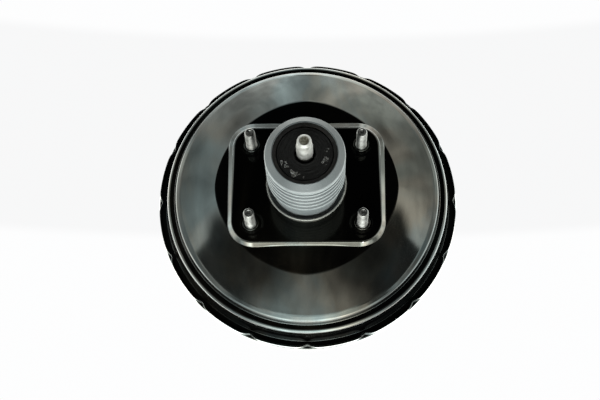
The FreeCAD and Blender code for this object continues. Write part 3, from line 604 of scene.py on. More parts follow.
PAINT = black_paint()
BOOT = grey_rubber()
STUD = zinc("dark_zinc_plate", (0.085, 0.085, 0.082), (0.20, 0.20, 0.193), 0.36)
BRIGHT = zinc("bright_zinc_plate", (0.66, 0.66, 0.64), (0.84, 0.84, 0.825), 0.42, stain=(0.42, 0.41, 0.38), amount=0.35)
ROD = rod_metal()
BARE = steel("oiled_pressed_steel")
WIRE = steel("oil_hardened_wire", (0.17, 0.165, 0.16), (0.30, 0.295, 0.285), 0.36)
BLACK = rubber("moulded_black_rubber")
NYLON = plastic("glass_filled_nylon", (0.014, 0.014, 0.016), (0.045, 0.044, 0.042), 0.45)
PHENOLIC = plastic("glass_filled_phenolic", (0.0045, 0.0042, 0.004), (0.016, 0.0145, 0.0125), 0.4)
WHITE = plastic("low_friction_white", (0.70, 0.69, 0.64), (0.55, 0.53, 0.47), 0.42, fibre=False)
FOAM = foam_black()
FELT = felt_grey()
YELLOW = yellow_zinc()
GREASE = grease()
BY_SLOT = {
    "black_paint": PAINT, "grey_rubber": BOOT, "dark_zinc": STUD, "bright_zinc": BRIGHT, "bare_steel": BARE,
    "spring_steel": WIRE, "black_rubber": BLACK, "black_plastic": NYLON, "phenolic": PHENOLIC,
    "white_plastic": WHITE, "foam": FOAM, "felt": FELT, "yellow_zinc": YELLOW,
}
for part in frame["record"]["subparts"]:
    set_mat(nodes[part["node"]], BY_SLOT[part["material_slot"]])


def piece(name, geometry, mat, body, stands_for=(), sharp=None, blend=None):
    ob = mesh(name, *geometry, sharp=sharp)
    set_mat(ob, mat)
    if blend:
        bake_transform(ob)
    else:
        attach(ob, body)
    if stands_for:
        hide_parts(*stands_for)
    return ob


# ------------------------------------------------------------------ rear shell
def stake_depth(a):
    """How far the lip is pressed in at an angle, for 16 lock notches with one straight down."""
    pitch = 2 * math.pi / 16
    d = (a + math.pi / 2 + pitch / 2) % pitch - pitch / 2
    x = np.abs(d) * 116.0
    return 2.2 * np.exp(-(x / 3.9) ** 1.7)


def pad_outline(inset, n):
    """The bulkhead pad's outline, inset from its foot, along n rays from the axis."""
    hx, hz, rc = 59.2 - inset, 48.9 - inset, 19.5 - inset
    a = np.arange(n) * 2 * math.pi / n
    dx, dz = np.abs(np.cos(a)), np.abs(np.sin(a))
    with np.errstate(divide="ignore"):
        t = np.minimum(hx / np.maximum(dx, 1e-12), hz / np.maximum(dz, 1e-12))
    cx, cz = hx - rc, hz - rc
    x, z = t * dx, t * dz
    corner = (x > cx) & (z > cz)
    bq = dx * cx + dz * cz
    disc = np.maximum(bq * bq - (cx * cx + cz * cz - rc * rc), 0)
    t = np.where(corner, bq + np.sqrt(disc), t)
    return np.stack([t * np.cos(a), np.zeros(n), t * np.sin(a)], 1)


def cone_height(r, a=None):
    """Depth of the cone at a radius. Its inner edge is a little further in on the diagonals."""
    start = 68.7
    if a is not None:
        start = 68.7 - 2.3 * np.sqrt(np.sin(2 * a) ** 2 + 0.004) * (1 - smoothstep((r - 68.0) / 24.0))
    t = (r - start) / (102.0 - start)
    return 4.2 + 17.4 * t - 0.30 * 4 * t * (1 - t)


def rear_height(x, z):
    """Depth of the shell's outer face: the flat disc, the cone and the bevelled pad."""
    r = np.hypot(x, z)
    floor = 4.2 - 1.1 * (1 - smoothstep((r - 48.0) / 17.0))
    base = smoothmax(floor, cone_height(np.maximum(r, 60.0), np.arctan2(z, x)), 0.5)
    hx, hz, rc = 58.5, 48.5, 19.5
    qx, qz = np.abs(x) - (hx - rc), np.abs(z - 0.9) - (hz - rc)
    dist = np.hypot(np.maximum(qx, 0), np.maximum(qz, 0)) + np.minimum(np.maximum(qx, qz), 0) - rc
    w = 3.6 + 1.2 * np.clip(z / 44.0, -1, 1)
    bevel = (w + dist) * 3.3 / w + 2.4 * np.maximum(dist - 0.3, 0)
    pad = smoothmax(np.zeros_like(r), bevel, 0.5)
    return smoothmin(pad, base, 0.4)


def build_rear():
    n = 720
    rings = disc_rings(rounded([
        (27.0, 15.0), (27.0, 3.0, 0.5), (28.75, 3.0, 0.3), (28.6, -2.7, 0.60), (29.9, -2.7, 0.60), (30.15, 0.0, 0.45),
        (32.0, 0.0),
    ], closed=False), n)
    under = [r.copy() for r in rings]
    flat0 = rings[-1]
    inner_edge = pad_outline(7.4, n)
    for t in np.linspace(0, 1, 18)[1:-1]:
        rings.append(flat0 * (1 - t) + inner_edge * t)
    insets = list(np.arange(7.4, 5.9, -0.5)) + list(np.arange(5.9, 3.5, -0.16)) + list(np.arange(3.5, 1.3, -0.55)) \
        + list(np.arange(1.3, -1.9, -0.18))
    for u in insets:
        rings.append(pad_outline(u, n))
    foot = rings[-1]
    c, s = circle(n)
    far = np.stack([76.5 * c, np.zeros(n), 76.5 * s], 1)
    for t in np.linspace(0, 1, 54)[1:]:
        rings.append(foot * (1 - t) + far * t)
    first_flat = len(under)
    for q in rings[first_flat:]:
        q[:, 1] = rear_height(q[:, 0], q[:, 2])
    for r in np.arange(79.0, 92.0, 2.5):
        rings.append(np.stack([r * c, cone_height(r, np.arctan2(s, c)), r * s], 1))
    rim = rounded([
        (92.5, cone_height(92.5)), (97.2, cone_height(97.2), 13.0), (100.5, 21.4, 3.2), (102.3, 26.4, 0.5),
        (107.9, 26.9, 3.2), (108.3, 36.5, 3.0), (110.3, 45.2, 0.9), (114.3, 45.4, 0.35), (114.3, 46.8, 0.35), (109.0, 46.8, 0.5),
    ], closed=False, step=5.0, share=0.66)
    rings += disc_rings(rim, n)
    # the inner face, walked back to the neck
    back = disc_rings(rounded([
        (108.9, 46.6), (106.9, 36.9, 1.6), (106.6, 28.3, 1.8), (101.5, 27.8, 0.8), (100.4, 23.4, 3.6), (97.0, cone_height(97.0) + 1.58),
    ], closed=False), n)
    rings += back
    # the flange's edge follows the lock notches of the front shell's lip
    for q in rings:
        rad = np.hypot(q[:, 0], q[:, 2])
        cut = stake_depth(np.arctan2(q[:, 2], q[:, 0])) * smoothstep((rad - 111.0) / 2.6)
        q[:, 0] *= 1 - cut / rad
        q[:, 2] *= 1 - cut / rad
    for r in (90.0, 80.0):
        rings.append(np.stack([r * c, cone_height(r, np.arctan2(s, c)) + 1.58, r * s], 1))
    for q in [far * 0.995] + [foot * (1 - t) + far * t for t in (0.66, 0.33, 0.0)] + [pad_outline(u, n) for u in (0.6, 3.0, 5.6, 8.0)]:
        q = q.copy()
        h = rear_height(q[:, 0], q[:, 2])
        e = 0.2
        gx = (rear_height(q[:, 0] + e, q[:, 2]) - h) / e
        gz = (rear_height(q[:, 0], q[:, 2] + e) - h) / e
        q[:, 1] = h + 1.4 * np.sqrt(1 + gx * gx + gz * gz)
        rings.append(q)
    rings += disc_rings([(30.8, 1.4), (30.3, 1.5), (30.3, 4.3), (30.1, 4.4), (28.6, 4.4), (28.4, 4.6), (28.4, 15.0)], n)
    parts = [loft(rings, True)]
    # a shallow embossed ring round each stud
    for sx in (-1, 1):
        for sz in (-1, 1):
            line = [(5.0, 0.15), (6.3, -0.02)] + [
                (7.0 + 2.0 * k / 10, -0.03 - 0.20 * math.sin(math.pi * k / 10) ** 2) for k in range(11)] + [(9.6, -0.02), (10.2, 0.15)]
            parts.append(lathe(line, 96, (41.5 * sx, 31.0 * sz)))
    return merged(parts)


rear = piece("rear_shell_pressing", build_rear(), PAINT, "housing", ["rear_shell"])


# ------------------------------------------------------------------ front shell
CV = (-58.0, 58.0)
LIP = 43.2


def front_line():
    return rounded([
        (116.4, 51.9, 1.5), (111.4, 51.9, 1.8), (110.2, 68.0, 4.0), (104.0, 78.0, 7.0), (62.0, 97.0, 3.0),
        (58.0, 100.0, 2.2), (19.5, 100.0, 0.4), (19.5, 98.6),
    ], closed=False, step=7.0)


def front_height(r, line):
    """Depth of the engine-side face at a radius, from its profile."""
    rr = np.array([p[0] for p in line])[::-1]
    yy = np.array([p[1] for p in line])[::-1]
    return np.interp(r, rr, yy)


def build_front():
    n = 16 * 72
    a = np.arange(n) * 2 * math.pi / n
    c, s = np.cos(a), np.sin(a)
    depth = stake_depth(a)

    def wall(inset, y):
        w = 1 - smoothstep((y - 46.15) / 0.8)
        rr = 116.05 + 0.35 * smoothstep((y - 46.8) / 1.4) - depth * w - inset
        return np.stack([rr * c, np.full(n, y), rr * s], 1)

    ys = list(np.arange(LIP + 0.5, 46.1, 0.4)) + list(np.linspace(46.15, 46.95, 9)) + [47.5, 48.2, 49.2, 50.2]
    rings = []
    # lip edge, rolled a little over its thickness
    for k in range(9):
        t = math.pi * k / 8
        rings.append(wall(0.7 + 0.7 * math.cos(t), LIP + 0.3 - 0.3 * math.sin(t)))
    rings += [wall(0.0, y) for y in ys]
    line = front_line()
    first = next(i for i, p in enumerate(line) if p[1] >= 50.3)
    line_out = line[first:]
    rings += disc_rings(line_out, n)
    inner = rounded([
        (20.0, 98.6), (57.4, 98.6, 1.0), (61.2, 95.8, 2.0), (103.1, 76.8, 5.5), (108.8, 67.6, 3.0), (110.0, 50.5, 0.6),
        (115.0, 50.5, 0.5), (115.0, 48.2),
    ], closed=False)
    rings += disc_rings(inner, n)
    rings += [wall(1.4, y) for y in ys[::-1] if y < 47.3]
    v, f = loft(rings, True)
    # open the sheet under the check valve's boss
    mid = v[:, 0] - CV[0], v[:, 2] - CV[1]
    near = (np.hypot(*mid) < 14.2) & (v[:, 1] > 70)
    f = [q for q in f if not all(near[list(q)])]
    return v, f, line


front_v, front_f, FLINE = build_front()


def build_boss():
    """The raised seat of the check valve, its skirt blended into the cone."""
    n = 144
    a = np.arange(n) * 2 * math.pi / n
    c, s = np.cos(a), np.sin(a)
    rho = np.linspace(14.6, 25.0, 700)
    cols = []
    for i in range(n):
        x, z = CV[0] + rho * c[i], CV[1] + rho * s[i]
        h = front_height(np.hypot(x, z), FLINE)
        wall = 96.5 - np.maximum(0, rho - 15.6) * 5.4
        top = smoothmin(wall, np.full_like(rho, 96.5), 1.6)
        y = smoothmax(h, top, 7.0)
        y = np.where(h > 96.4, np.maximum(h, 96.4), y)
        y = np.minimum(y, np.maximum(h, 96.5))
        y = y + 0.012
        arc = np.concatenate([[0], np.cumsum(np.hypot(np.diff(rho), np.diff(y)))])
        t = np.linspace(0, arc[-1], 64)
        cols.append((np.interp(t, arc, rho), np.interp(t, arc, y)))
    rings = []
    for r0 in (8.95, 9.1, 11.0, 13.5):
        rings.append(np.stack([CV[0] + r0 * c, np.full(n, 96.5), CV[1] + r0 * s], 1))
    for k in range(64):
        r = np.array([q[0][k] for q in cols])
        y = np.array([q[1][k] for q in cols])
        rings.append(np.stack([CV[0] + r * c, y, CV[1] + r * s], 1))
    end = rings[-1].copy()
    end[:, 1] -= 0.5
    rings.append(end)
    for k in range(63, 0, -6):
        r = np.array([q[0][k] for q in cols]) - 1.0
        y = np.array([q[1][k] for q in cols]) - 1.5
        rings.append(np.stack([CV[0] + r * c, y, CV[1] + r * s], 1))
    for r0 in (13.0, 9.1, 8.95):
        rings.append(np.stack([CV[0] + r0 * c, np.full(n, 95.1), CV[1] + r0 * s], 1))
    return loft(rings, True)


front = piece("front_shell_pressing", merged([(front_v, front_f), build_boss()]), PAINT, "housing",
              ["front_shell"])


# ------------------------------------------------------------------ studs
def stud_geometry(at, levels, y_base, y_tip, n=56):
    """A threaded stud: collar and head from levels, a thread, a chamfered tip with a cup."""
    d = 1 if y_tip > y_base else -1
    rings = thread(4.0, 0.62, 1.25, y_base, y_tip - d * 0.05, n=n, at=at, tip=y_tip - d * 1.15)
    tip_r = 4.0 - 1.10 * 0.75
    end = rounded([(tip_r, y_tip - d * 0.02), (tip_r - 0.25, y_tip), (2.15, y_tip, 0.12), (1.85, y_tip - d * 0.35, 0.1), (1.75, y_tip - d * 1.5, 0.5), (0.3, y_tip - d * 2.0)],
                  closed=False)
    rings += disc_rings(end, n, at)
    base = rounded(levels, closed=False)
    rings = disc_rings(base, n, at) + rings
    return capped(rings)


def build_bulkhead_studs():
    parts = []
    for sx in (-1, 1):
        for sz in (-1, 1):
            parts.append(stud_geometry((41.5 * sx, 31.0 * sz), [
                (0.4, 7.4), (8.5, 7.4, 0.5), (8.5, 3.9, 0.2), (4.35, 3.9), (4.35, -1.25, 0.15), (3.9, -1.5),
            ], -1.7, -26.0))
    return merged(parts)


def build_shoulders():
    """The studs' painted shoulders, through the sheet and a little proud of the bulkhead face."""
    line = rounded([(4.2, 3.85), (5.8, 3.85, 0.2), (5.8, -1.2, 0.35), (4.3, -1.2, 0.12), (4.2, -0.9)])
    return merged([lathe(line, 72, (41.5 * sx, 31.0 * sz)) for sx in (-1, 1) for sz in (-1, 1)])


studs = piece("bulkhead_studs_threaded", build_bulkhead_studs(), STUD, "housing", ["bulkhead_studs"], sharp=50)
shoulders = piece("bulkhead_stud_shoulders", build_shoulders(), PAINT, "housing", sharp=50)


def build_mc_studs():
    parts = []
    for sx in (-1, 1):
        parts.append(stud_geometry((41.0 * sx, 0.0), [
            (0.4, 92.1), (8.5, 92.1, 0.5), (8.5, 95.6, 0.2), (5.8, 95.6), (5.8, 100.0, 0.3),
            (4.4, 100.0, 0.15), (3.9, 100.4),
        ], 100.6, 124.0))
    return merged(parts)


mc_studs = piece("master_cylinder_studs_threaded", build_mc_studs(), STUD, "housing", ["master_cylinder_studs"], sharp=50)


# ------------------------------------------------------------------ dust boot
CRESTS = [-54.0, -46.6, -39.4, -32.2, -24.6]


def build_boot():
    """Bellows: a conical end, five sharp-crested pleats, a plain wall and a foot that sits in the neck's pocket."""
    outer = [(23.15, -65.2), (23.15, -67.0, 0.5), (28.25, -63.0, 0.45), (28.75, -61.8, 0.4), (28.7, -57.7, 0.5), (26.3, -57.0, 0.35)]
    inner = [(23.45, -65.2), (23.45, -57.4, 0.2), (25.0, -56.6, 0.3)]
    for k, y in enumerate(CRESTS):
        w = 2.1
        outer += [(26.3, y - 2.75 if k else y - 2.0, 0.30), (28.8, y - 1.15 if k else y - 0.9, 0.60), (28.8, y + 1.15, 0.60), (26.3, y + w + 0.65, 0.30)]
        inner += [(25.2, y - 2.3 if k else y - 1.8, 0.2), (27.6, y - 0.6, 0.4), (27.6, y + 0.6, 0.4), (25.2, y + w + 0.2, 0.2)]
    outer += [(26.5, -18.0, 1.0), (26.0, -9.0, 3.0), (25.4, 1.2, 0.5), (25.4, 2.1, 0.2), (28.4, 2.3, 0.2), (28.4, 2.9, 0.2)]
    inner += [(25.2, -18.0, 1.0), (24.8, -9.0, 3.0), (24.3, 1.6), (24.3, 2.9, 0.2)]
    line = rounded(outer + inner[::-1], closed=True, step=14.0, guard=0.12)
    return lathe(line, 256)


boot = piece("dust_boot_bellows", build_boot(), BOOT, "housing", ["dust_boot"],
             blend=("housing", "power_piston", (0, 0.0, 0), (0, -0.0585, 0)))


# ------------------------------------------------------------------ breather foam and grease
def build_foam():
    n = 160
    c, s = circle(n)
    a = np.arange(n) * 2 * math.pi / n
    rr = np.linspace(8.6, 20.35, 44)
    rings = []

    def lumps(r, phase):
        return (0.10 * np.sin(a * 5 + r * 1.7 + phase) + 0.07 * np.sin(a * 9 - r * 2.9) + 0.05 * np.sin(a * 17 + r * 5.1)
                + 0.13 * math.sin(r * 2.15))

    rings.append(np.stack([8.5 * c, np.full(n, -49.5), 8.5 * s], 1))
    rings.append(np.stack([8.5 * c, np.full(n, -63.9), 8.5 * s], 1))
    for r in rr:
        edge = 0.35 * math.exp(-((r - 8.5) / 0.8) ** 2) + 0.6 * math.exp(-((20.45 - r) / 0.8) ** 2)
        y = -64.4 + edge + lumps(r, 0.4) * 0.8
        rings.append(np.stack([r * c, y, r * s], 1))
    rings.append(np.stack([20.45 * c, np.full(n, -63.6), 20.45 * s], 1))
    rings.append(np.stack([20.45 * c, np.full(n, -49.5), 20.45 * s], 1))
    return loft(rings, True)


foam = piece("breather_foam_ring", build_foam(), FOAM, "power_piston", ["breather_foam"])


def build_collar():
    """The foam's raised lip round the rod. It goes with the rod and lies on the foam's face."""
    n = 160
    a = np.arange(n) * 2 * math.pi / n
    c, s = np.cos(a), np.sin(a)
    rings = []
    for r, y in rounded([(7.35, -63.4), (7.35, -64.75, 0.35), (8.1, -65.0, 0.4), (9.2, -64.72, 0.8), (11.0, -64.5, 0.15), (11.15, -64.1, 0.1), (9.0, -63.5)]):
        k = 0.06 * np.sin(a * 7 + r) + 0.05 * np.sin(a * 13 - r * 2)
        rings.append(np.stack([(r + k) * c, y + k * 0.8, (r + k) * s], 1))
    return loft(rings, True)


collar = piece("breather_foam_lip", build_collar(), FOAM, "input_rod")


def blob(at, size, normal_y=-1.0, long=1.0, turn=0.0):
    """A flattened droplet on a face square to Y, drawn out to long times its width along one direction."""
    n, m = 18, 7
    a = np.arange(n) * 2 * math.pi / n
    wob = 1 + 0.25 * np.sin(a * 2 + at[0]) + 0.18 * np.sin(a * 3 + at[2] * 2) + 0.10 * np.sin(a * 5 + at[0] * 3)
    ct, st = math.cos(turn), math.sin(turn)
    rings = []
    for j in range(m):
        t = j / (m - 1) * math.pi * 0.5
        r = size * math.cos(t) * 0.98 + size * 0.02
        u, w = r * wob * np.cos(a) * long, r * wob * np.sin(a)
        lump = size * math.sin(t) * (0.42 + 0.16 * np.sin(a * 3 + at[2]) * math.cos(t))
        rings.append(np.stack([at[0] + u * ct - w * st, at[1] + normal_y * lump, at[2] + u * st + w * ct], 1))
    under = rings[0].copy()
    under[:, 1] = at[1] - normal_y * 0.35
    return capped([under] + rings)


def build_grease():
    parts = []
    r = random.Random(11)
    arcs = [(200, 232, 14.6, 17.6, 7), (235, 268, 15.4, 18.0, 10), (-32, 14, 13.4, 17.2, 12)]
    for a0, a1, r0, r1, count in arcs:
        for _ in range(count):
            ang = math.radians(r.uniform(a0, a1))
            rad = r.uniform(r0, r1)
            size = 0.30 + 0.85 * r.random() ** 1.8
            parts.append(blob((rad * math.cos(ang), -64.42, rad * math.sin(ang)), size, long=r.uniform(1.0, 1.45), turn=r.uniform(0, math.pi)))
    return merged(parts)


grease_ob = piece("grease_specks", build_grease(), GREASE, "power_piston")


# ------------------------------------------------------------------ input push rod
def build_rod():
    line = rounded([
        (0.0, 3.5), (1.6, 3.2), (3.3, 2.4), (4.6, 1.0), (5.3, -0.6), (5.5, -2.0), (5.3, -3.5), (4.75, -4.8), (4.0, -5.9, 0.4), (4.0, -41.2, 0.6),
        (5.9, -42.4, 0.5), (5.9, -79.0, 8.0), (5.3, -84.2, 8.0),
        (5.15, -88.5, 0.35), (3.6, -90.0, 0.22), (3.3, -89.9, 0.1), (3.15, -89.7, 0.1), (0.0, -89.68),
    ], closed=False)
    return lathe(line, 96, closed=False)


rod = piece("input_push_rod_turned", build_rod(), ROD, "input_rod", ["input_push_rod"])

# ------------------------------------------------------------------ springs
main_spring = piece("main_return_spring_coil", coil(33.0, 28.7, 26.25, 93.95, 6.6, 1.8), WIRE, "housing",
                    ["main_return_spring"])
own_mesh(main_spring)
rod_spring = piece("input_return_spring_coil", coil(11.9, 12.6, -39.4, -27.35, 4.6, 0.8), WIRE, "power_piston",
                   ["input_return_spring"])
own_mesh(rod_spring)
valve_spring = piece("check_valve_spring_coil", coil(4.4, 4.4, 102.3, 110.5, 5.2, 0.35, CV, sides=10), WIRE, "housing",
                     ["check_valve_spring"])
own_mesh(valve_spring)
poppet_spring = piece("poppet_spring_coil", coil(10.4, 10.4, -24.7, -9.7, 5.2, 0.55), WIRE, "power_piston",
                      ["poppet_spring"])

# ------------------------------------------------------------------ diaphragm
def build_diaphragm():
    outer = [(28.1, 17.1, 0.6), (72.4, 17.1, 6.0), (96.9, 28.9, 2.5), (103.6, 29.6, 1.8), (105.7, 32.0, 1.2), (105.7, 40.0, 3.0),
             (108.0, 45.0, 1.5), (108.6, 47.0, 0.4), (114.2, 47.0, 0.9), (114.2, 50.2, 0.9), (109.9, 50.2, 0.7), (109.9, 48.9, 0.3),
             (107.0, 48.9, 0.6), (106.3, 45.6, 1.0), (103.9, 40.2, 2.5), (103.9, 32.6, 0.8), (102.8, 31.4, 0.8), (97.6, 31.0, 1.5),
             (96.2, 30.45, 1.0), (72.0, 18.85, 5.0), (28.1, 18.85, 0.6)]
    return lathe(rounded(outer), 256)


diaphragm = piece("rolling_diaphragm", build_diaphragm(), BLACK, "housing", ["diaphragm"],
                  blend=("housing", "power_piston", (0, 0.047, 0), (0, 0.031, 0)))


# ------------------------------------------------------------------ check valve
def build_valve_body():
    line = rounded([
        (3.5, 89.0, 0.2), (5.0, 89.0, 0.5), (6.9, 90.9, 0.3), (6.9, 91.9, 0.2), (5.95, 92.0, 0.2), (5.95, 98.8, 0.3),
        (10.5, 98.8, 0.5), (10.5, 103.9, 0.1), (10.25, 104.05), (10.25, 104.35), (10.5, 104.5, 0.1), (10.5, 111.0, 0.9), (9.3, 112.5, 0.5), (5.6, 112.5, 0.3),
        (5.4, 112.2, 0.3), (0.0, 112.2),
    ], closed=False)
    inner = [(0.0, 110.7), (8.3, 110.7), (8.3, 100.5), (3.5, 100.5)]
    parts = [lathe(line + inner[::-1][:0], 96, CV, closed=False)]
    prof = [(0.0, 110.7)] + rounded([(8.3, 110.7, 0.3), (8.3, 100.5, 0.3), (3.5, 100.5, 0.2), (3.5, 89.05)], closed=False)
    parts.append(lathe(prof, 96, CV, closed=False))
    # hose nipple with three saw-tooth barbs and a bore, about a line parallel to X at y 106
    n = 64
    out = rounded([
        (6.3, 9.2), (6.3, 14.0, 0.5), (4.6, 14.6, 0.5), (4.4, 20.0, 0.1), (4.4, 23.4), (4.9, 23.6, 0.1), (4.45, 28.2), (4.95, 28.4, 0.1), (4.45, 32.2),
        (5.15, 32.5, 0.12), (4.3, 37.4, 0.3), (3.9, 38.0, 0.25), (2.75, 38.0, 0.3), (2.7, 37.2), (2.7, 7.6),
    ], closed=False)
    c, s = circle(n)
    rings = [np.stack([np.full(n, CV[0] - x), 106.0 + r * c, CV[1] + r * s], 1) for r, x in out]
    parts.append(loft(rings, True))
    # four ribs under the cap
    for k in range(8):
        a = math.radians(22.5 + 45 * k)
        if abs(math.cos(a) + 1) < 0.3:
            continue
        u, w = np.array([math.cos(a), 0, math.sin(a)]), np.array([-math.sin(a), 0, math.cos(a)])
        o = np.array([CV[0], 0, CV[1]])
        box = []
        for y, rr, hw in ((104.6, 10.2, 0.55), (104.6, 10.85, 0.4), (110.4, 10.85, 0.4), (110.4, 10.2, 0.55)):
            for sgn in (-1, 1):
                box.append(o + u * rr + w * hw * sgn + np.array([0, y, 0]))
        f = [(0, 1, 3, 2), (2, 3, 5, 4), (4, 5, 7, 6), (6, 7, 1, 0), (0, 2, 4, 6), (1, 7, 5, 3)]
        parts.append((np.array(box), f))
    return merged(parts)


cv_body = piece("check_valve_housing", build_valve_body(), NYLON, "housing", ["check_valve_body"], sharp=40)


def build_grommet():
    line = rounded([
        (6.0, 92.1, 0.3), (12.0, 92.5, 0.5), (12.6, 95.05, 0.3), (8.95, 95.05, 0.15), (8.95, 96.55, 0.15), (12.6, 96.55, 0.4),
        (12.1, 98.3, 0.8), (9.4, 98.55, 0.3), (9.1, 98.2, 0.2), (8.3, 98.2, 0.2), (8.0, 98.6, 0.3), (6.0, 98.7, 0.3),
    ])
    return lathe(line, 96, CV)


grommet = piece("check_valve_grommet_moulded", build_grommet(), BLACK, "housing", ["check_valve_grommet"])


# ------------------------------------------------------------------ output end
def build_adjuster():
    """A screw with a hexagon and a domed tip."""
    n = 96
    a = np.arange(n) * 2 * math.pi / n
    c, s = np.cos(a), np.sin(a)
    hexa = 4.35 / np.cos((a + math.pi / 6) % (math.pi / 3) - math.pi / 6)
    rings = disc_rings([(0.3, 87.0), (2.6, 87.0), (2.95, 87.4), (2.95, 97.0)], n)
    for y, k in ((97.1, 4.75), (97.4, 4.98), (101.8, 4.98), (102.2, 4.7)):
        r = np.minimum(hexa, k)
        rings.append(np.stack([r * c, np.full(n, y), r * s], 1))
    rings += disc_rings(rounded([(4.25, 102.4), (4.2, 102.6, 0.2), (3.5, 104.2, 1.0), (1.2, 105.0, 1.6), (0.3, 105.0)], closed=False), n)
    return capped(rings)


adjuster = piece("output_adjuster_screw", build_adjuster(), YELLOW, "power_piston", ["output_adjuster"], sharp=35)


# ------------------------------------------------------------------ stage, light, camera
def floor_material():
    m = bpy.data.materials.new("pale_floor")
    m.use_nodes = True
    t = m.node_tree
    t.nodes.clear()
    out = t.nodes.new("ShaderNodeOutputMaterial")
    mixer = t.nodes.new("ShaderNodeMixShader")
    clear = t.nodes.new("ShaderNodeBsdfTransparent")
    b = t.nodes.new("ShaderNodeBsdfPrincipled")
    b.inputs["Base Color"].default_value = (0.46, 0.46, 0.455, 1)
    b.inputs["Roughness"].default_value = 0.8
    g = t.nodes.new("ShaderNodeNewGeometry")
    t.links.new(g.outputs["Backfacing"], mixer.inputs[0])
    t.links.new(b.outputs[0], mixer.inputs[1])
    t.links.new(clear.outputs[0], mixer.inputs[2])
    t.links.new(mixer.outputs[0], out.inputs[0])
    return m


me = bpy.data.meshes.new("floor")
me.from_pydata([(-3, -3, -0.1166), (3, -3, -0.1166), (3, 3, -0.1166), (-3, 3, -0.1166)], [], [(0, 1, 2, 3)])
floor = bpy.data.objects.new("floor", me)
bpy.context.scene.collection.objects.link(floor)
me.materials.append(floor_material())
floor.visible_glossy = False
floor.visible_diffuse = False
floor.visible_transmission = False
floor.visible_shadow = False

world = bpy.data.worlds.new("studio")
bpy.context.scene.world = world
world.use_nodes = True
wt = world.node_tree
wt.nodes.clear()


class W:
    """Small helpers for the world's nodes."""

    @staticmethod
    def node(kind, **props):
        n = wt.nodes.new(kind)
        for k, v in props.items():
            setattr(n, k, v)
        return n

    @staticmethod
    def math(op, a, b=None):
        n = W.node("ShaderNodeMath", operation=op)
        for i, x in enumerate((a, b)):
            if x is None:
                continue
            if isinstance(x, (int, float)):
                n.inputs[i].default_value = x
            else:
                wt.links.new(x, n.inputs[i])
        return n.outputs[0]

    @staticmethod
    def step(x, lo, hi, a=0.0, b=1.0):
        n = W.node("ShaderNodeMapRange")
        n.interpolation_type = "SMOOTHSTEP"
        for key, v in (("From Min", lo), ("From Max", hi), ("To Min", a), ("To Max", b)):
            n.inputs[key].default_value = v
        wt.links.new(x, n.inputs["Value"])
        return n.outputs["Result"]


tc = W.node("ShaderNodeTexCoord")
sep = W.node("ShaderNodeSeparateXYZ")
wt.links.new(tc.outputs["Generated"], sep.inputs[0])
dx, dy, dz = sep.outputs
rad = math.radians
elev = W.math("ARCSINE", dz)
azim = W.math("ABSOLUTE", W.math("ARCTAN2", dx, W.math("MULTIPLY", dy, -1.0)))


def times(*xs):
    out = xs[0]
    for x in xs[1:]:
        out = W.math("MULTIPLY", out, x)
    return out


def plus(*xs):
    out = xs[0]
    for x in xs[1:]:
        out = W.math("ADD", out, x)
    return out


def el(lo, hi, a=0.0, b=1.0):
    return W.step(elev, rad(lo), rad(hi), a, b)


def az(lo, hi, a=0.0, b=1.0):
    return W.step(azim, rad(lo), rad(hi), a, b)


# a light tent: bright side walls, a softer roof, a brightly lit table, and an open dark side towards -Y
low = W.math("MAXIMUM", W.math("MULTIPLY", W.math("MINIMUM", W.math("ADD", elev, rad(4.0)), 0.0), 1.5), rad(-8.0))
edge = W.step(W.math("ADD", azim, low), rad(48.0), rad(53.0))
walls = times(edge, el(40, 62, 1.0, 0.0), el(-62, -40, 0.0, 1.0))
wall_level = plus(1.45, times(az(55, 67, 1.0, 0.0), el(8, 34, 2.4, 0.6)), times(az(72, 96, 0.0, 4.0), el(-38, -22), el(24, 46, 1.0, 0.0)))
roof = el(40, 62)
roof_level = times(plus(2.5, times(el(60, 73), az(14, 40, 0.0, 1.1))), el(82.5, 88.0, 1.0, 0.26), az(95, 130, 1.0, 1.7))
near = times(plus(el(-26, -12, 0.3, 0.0), el(-36, -28, 0.9, 0.0), el(-41, -34, 1.0, 0.0)), az(26, 42, 1.0, 0.12))
table = plus(near, el(-52, -42, 4.0, 0.0), el(-72, -55, 12.0, 0.0))
table = times(table, el(-86, -79, 0.3, 1.0))
gloom = times(az(26, 48, 0.0, 0.22), el(0, 24, 1.0, 0.0))
level = plus(0.012, gloom, times(walls, wall_level), times(roof, roof_level), table)
stretch = W.node("ShaderNodeMapping")
stretch.inputs["Scale"].default_value = (1.0, 1.0, 0.42)
wt.links.new(tc.outputs["Generated"], stretch.inputs["Vector"])
cloud = W.node("ShaderNodeTexNoise")
cloud.inputs["Scale"].default_value = 7.0
cloud.inputs["Detail"].default_value = 3.0
cloud.inputs["Roughness"].default_value = 0.6
cloud.inputs["Distortion"].default_value = 0.4
wt.links.new(stretch.outputs[0], cloud.inputs["Vector"])
level = times(level, W.step(cloud.outputs["Fac"], 0.30, 0.70, 0.62, 1.22))
hue = W.node("ShaderNodeTexNoise")
hue.inputs["Scale"].default_value = 3.1
hue.inputs["Detail"].default_value = 1.5
wt.links.new(tc.outputs["Generated"], hue.inputs["Vector"])
tint = W.node("ShaderNodeMix", data_type="RGBA")
wt.links.new(W.step(hue.outputs["Fac"], 0.42, 0.58), tint.inputs[0])
tint.inputs[6].default_value = (0.91, 1.0, 0.98, 1)
tint.inputs[7].default_value = (1.0, 0.97, 0.90, 1)
bg_light = W.node("ShaderNodeBackground")
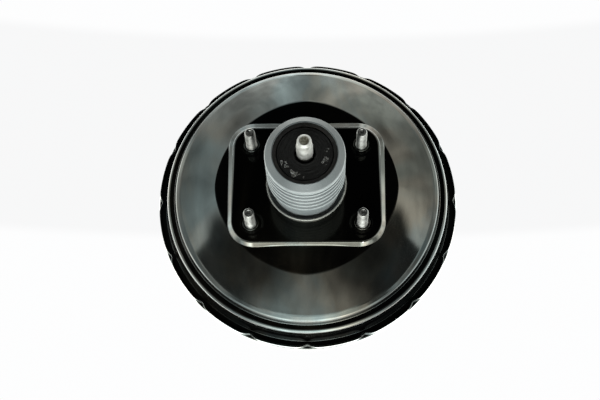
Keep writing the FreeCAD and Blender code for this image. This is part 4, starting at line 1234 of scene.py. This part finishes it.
wt.links.new(tint.outputs[2], bg_light.inputs["Color"])
wt.links.new(level, bg_light.inputs["Strength"])
bg_view = W.node("ShaderNodeBackground")
bg_view.inputs["Color"].default_value = (0.985, 0.987, 0.99, 1)
wt.links.new(plus(times(el(16.3, 16.9), el(25.4, 26.0, 1.0, 0.0), -0.052), 1.0), bg_view.inputs["Strength"])
path = W.node("ShaderNodeLightPath")
blend_bg = W.node("ShaderNodeMixShader")
wt.links.new(path.outputs["Is Camera Ray"], blend_bg.inputs[0])
wt.links.new(bg_light.outputs[0], blend_bg.inputs[1])
wt.links.new(bg_view.outputs[0], blend_bg.inputs[2])
w_out = W.node("ShaderNodeOutputWorld")
wt.links.new(blend_bg.outputs[0], w_out.inputs[0])


# the photograph's camera: 0.94 m away, about 18 degrees below the axis
tilt, yaw, roll = math.radians(18.33), math.radians(-1.32), math.radians(0.35)
Rx = Matrix(((1, 0, 0), (0, math.cos(tilt), math.sin(tilt)), (0, -math.sin(tilt), math.cos(tilt))))
Ry = Matrix(((math.cos(yaw), 0, math.sin(yaw)), (0, 1, 0), (-math.sin(yaw), 0, math.cos(yaw))))
Rz = Matrix(((math.cos(roll), -math.sin(roll), 0), (math.sin(roll), math.cos(roll), 0), (0, 0, 1)))
to_ring = Matrix(((1, 0, 0), (0, 0, 1), (0, -1, 0)))
view_m = Ry @ Rx @ Rz @ to_ring
offset = Vector(((306.38 - 300) * 0.00075, -(183.63 - 200) * 0.00075, -1250 * 0.00075))
cam_data = bpy.data.cameras.new("camera")
cam_data.sensor_width = 36.0
cam_data.lens = 75.0
cam_data.clip_start, cam_data.clip_end = 0.01, 50
cam = bpy.data.objects.new("camera", cam_data)
back = view_m.transposed()
cam.matrix_world = Matrix.Translation(-(back @ offset)) @ back.to_4x4()
bpy.context.scene.collection.objects.link(cam)
bpy.context.scene.camera = cam

vs = bpy.context.scene.view_settings
vs.view_transform = "Standard"
vs.look = "None"
vs.exposure = 0.0
vs.gamma = 1.0

bpy.context.view_layer.update()
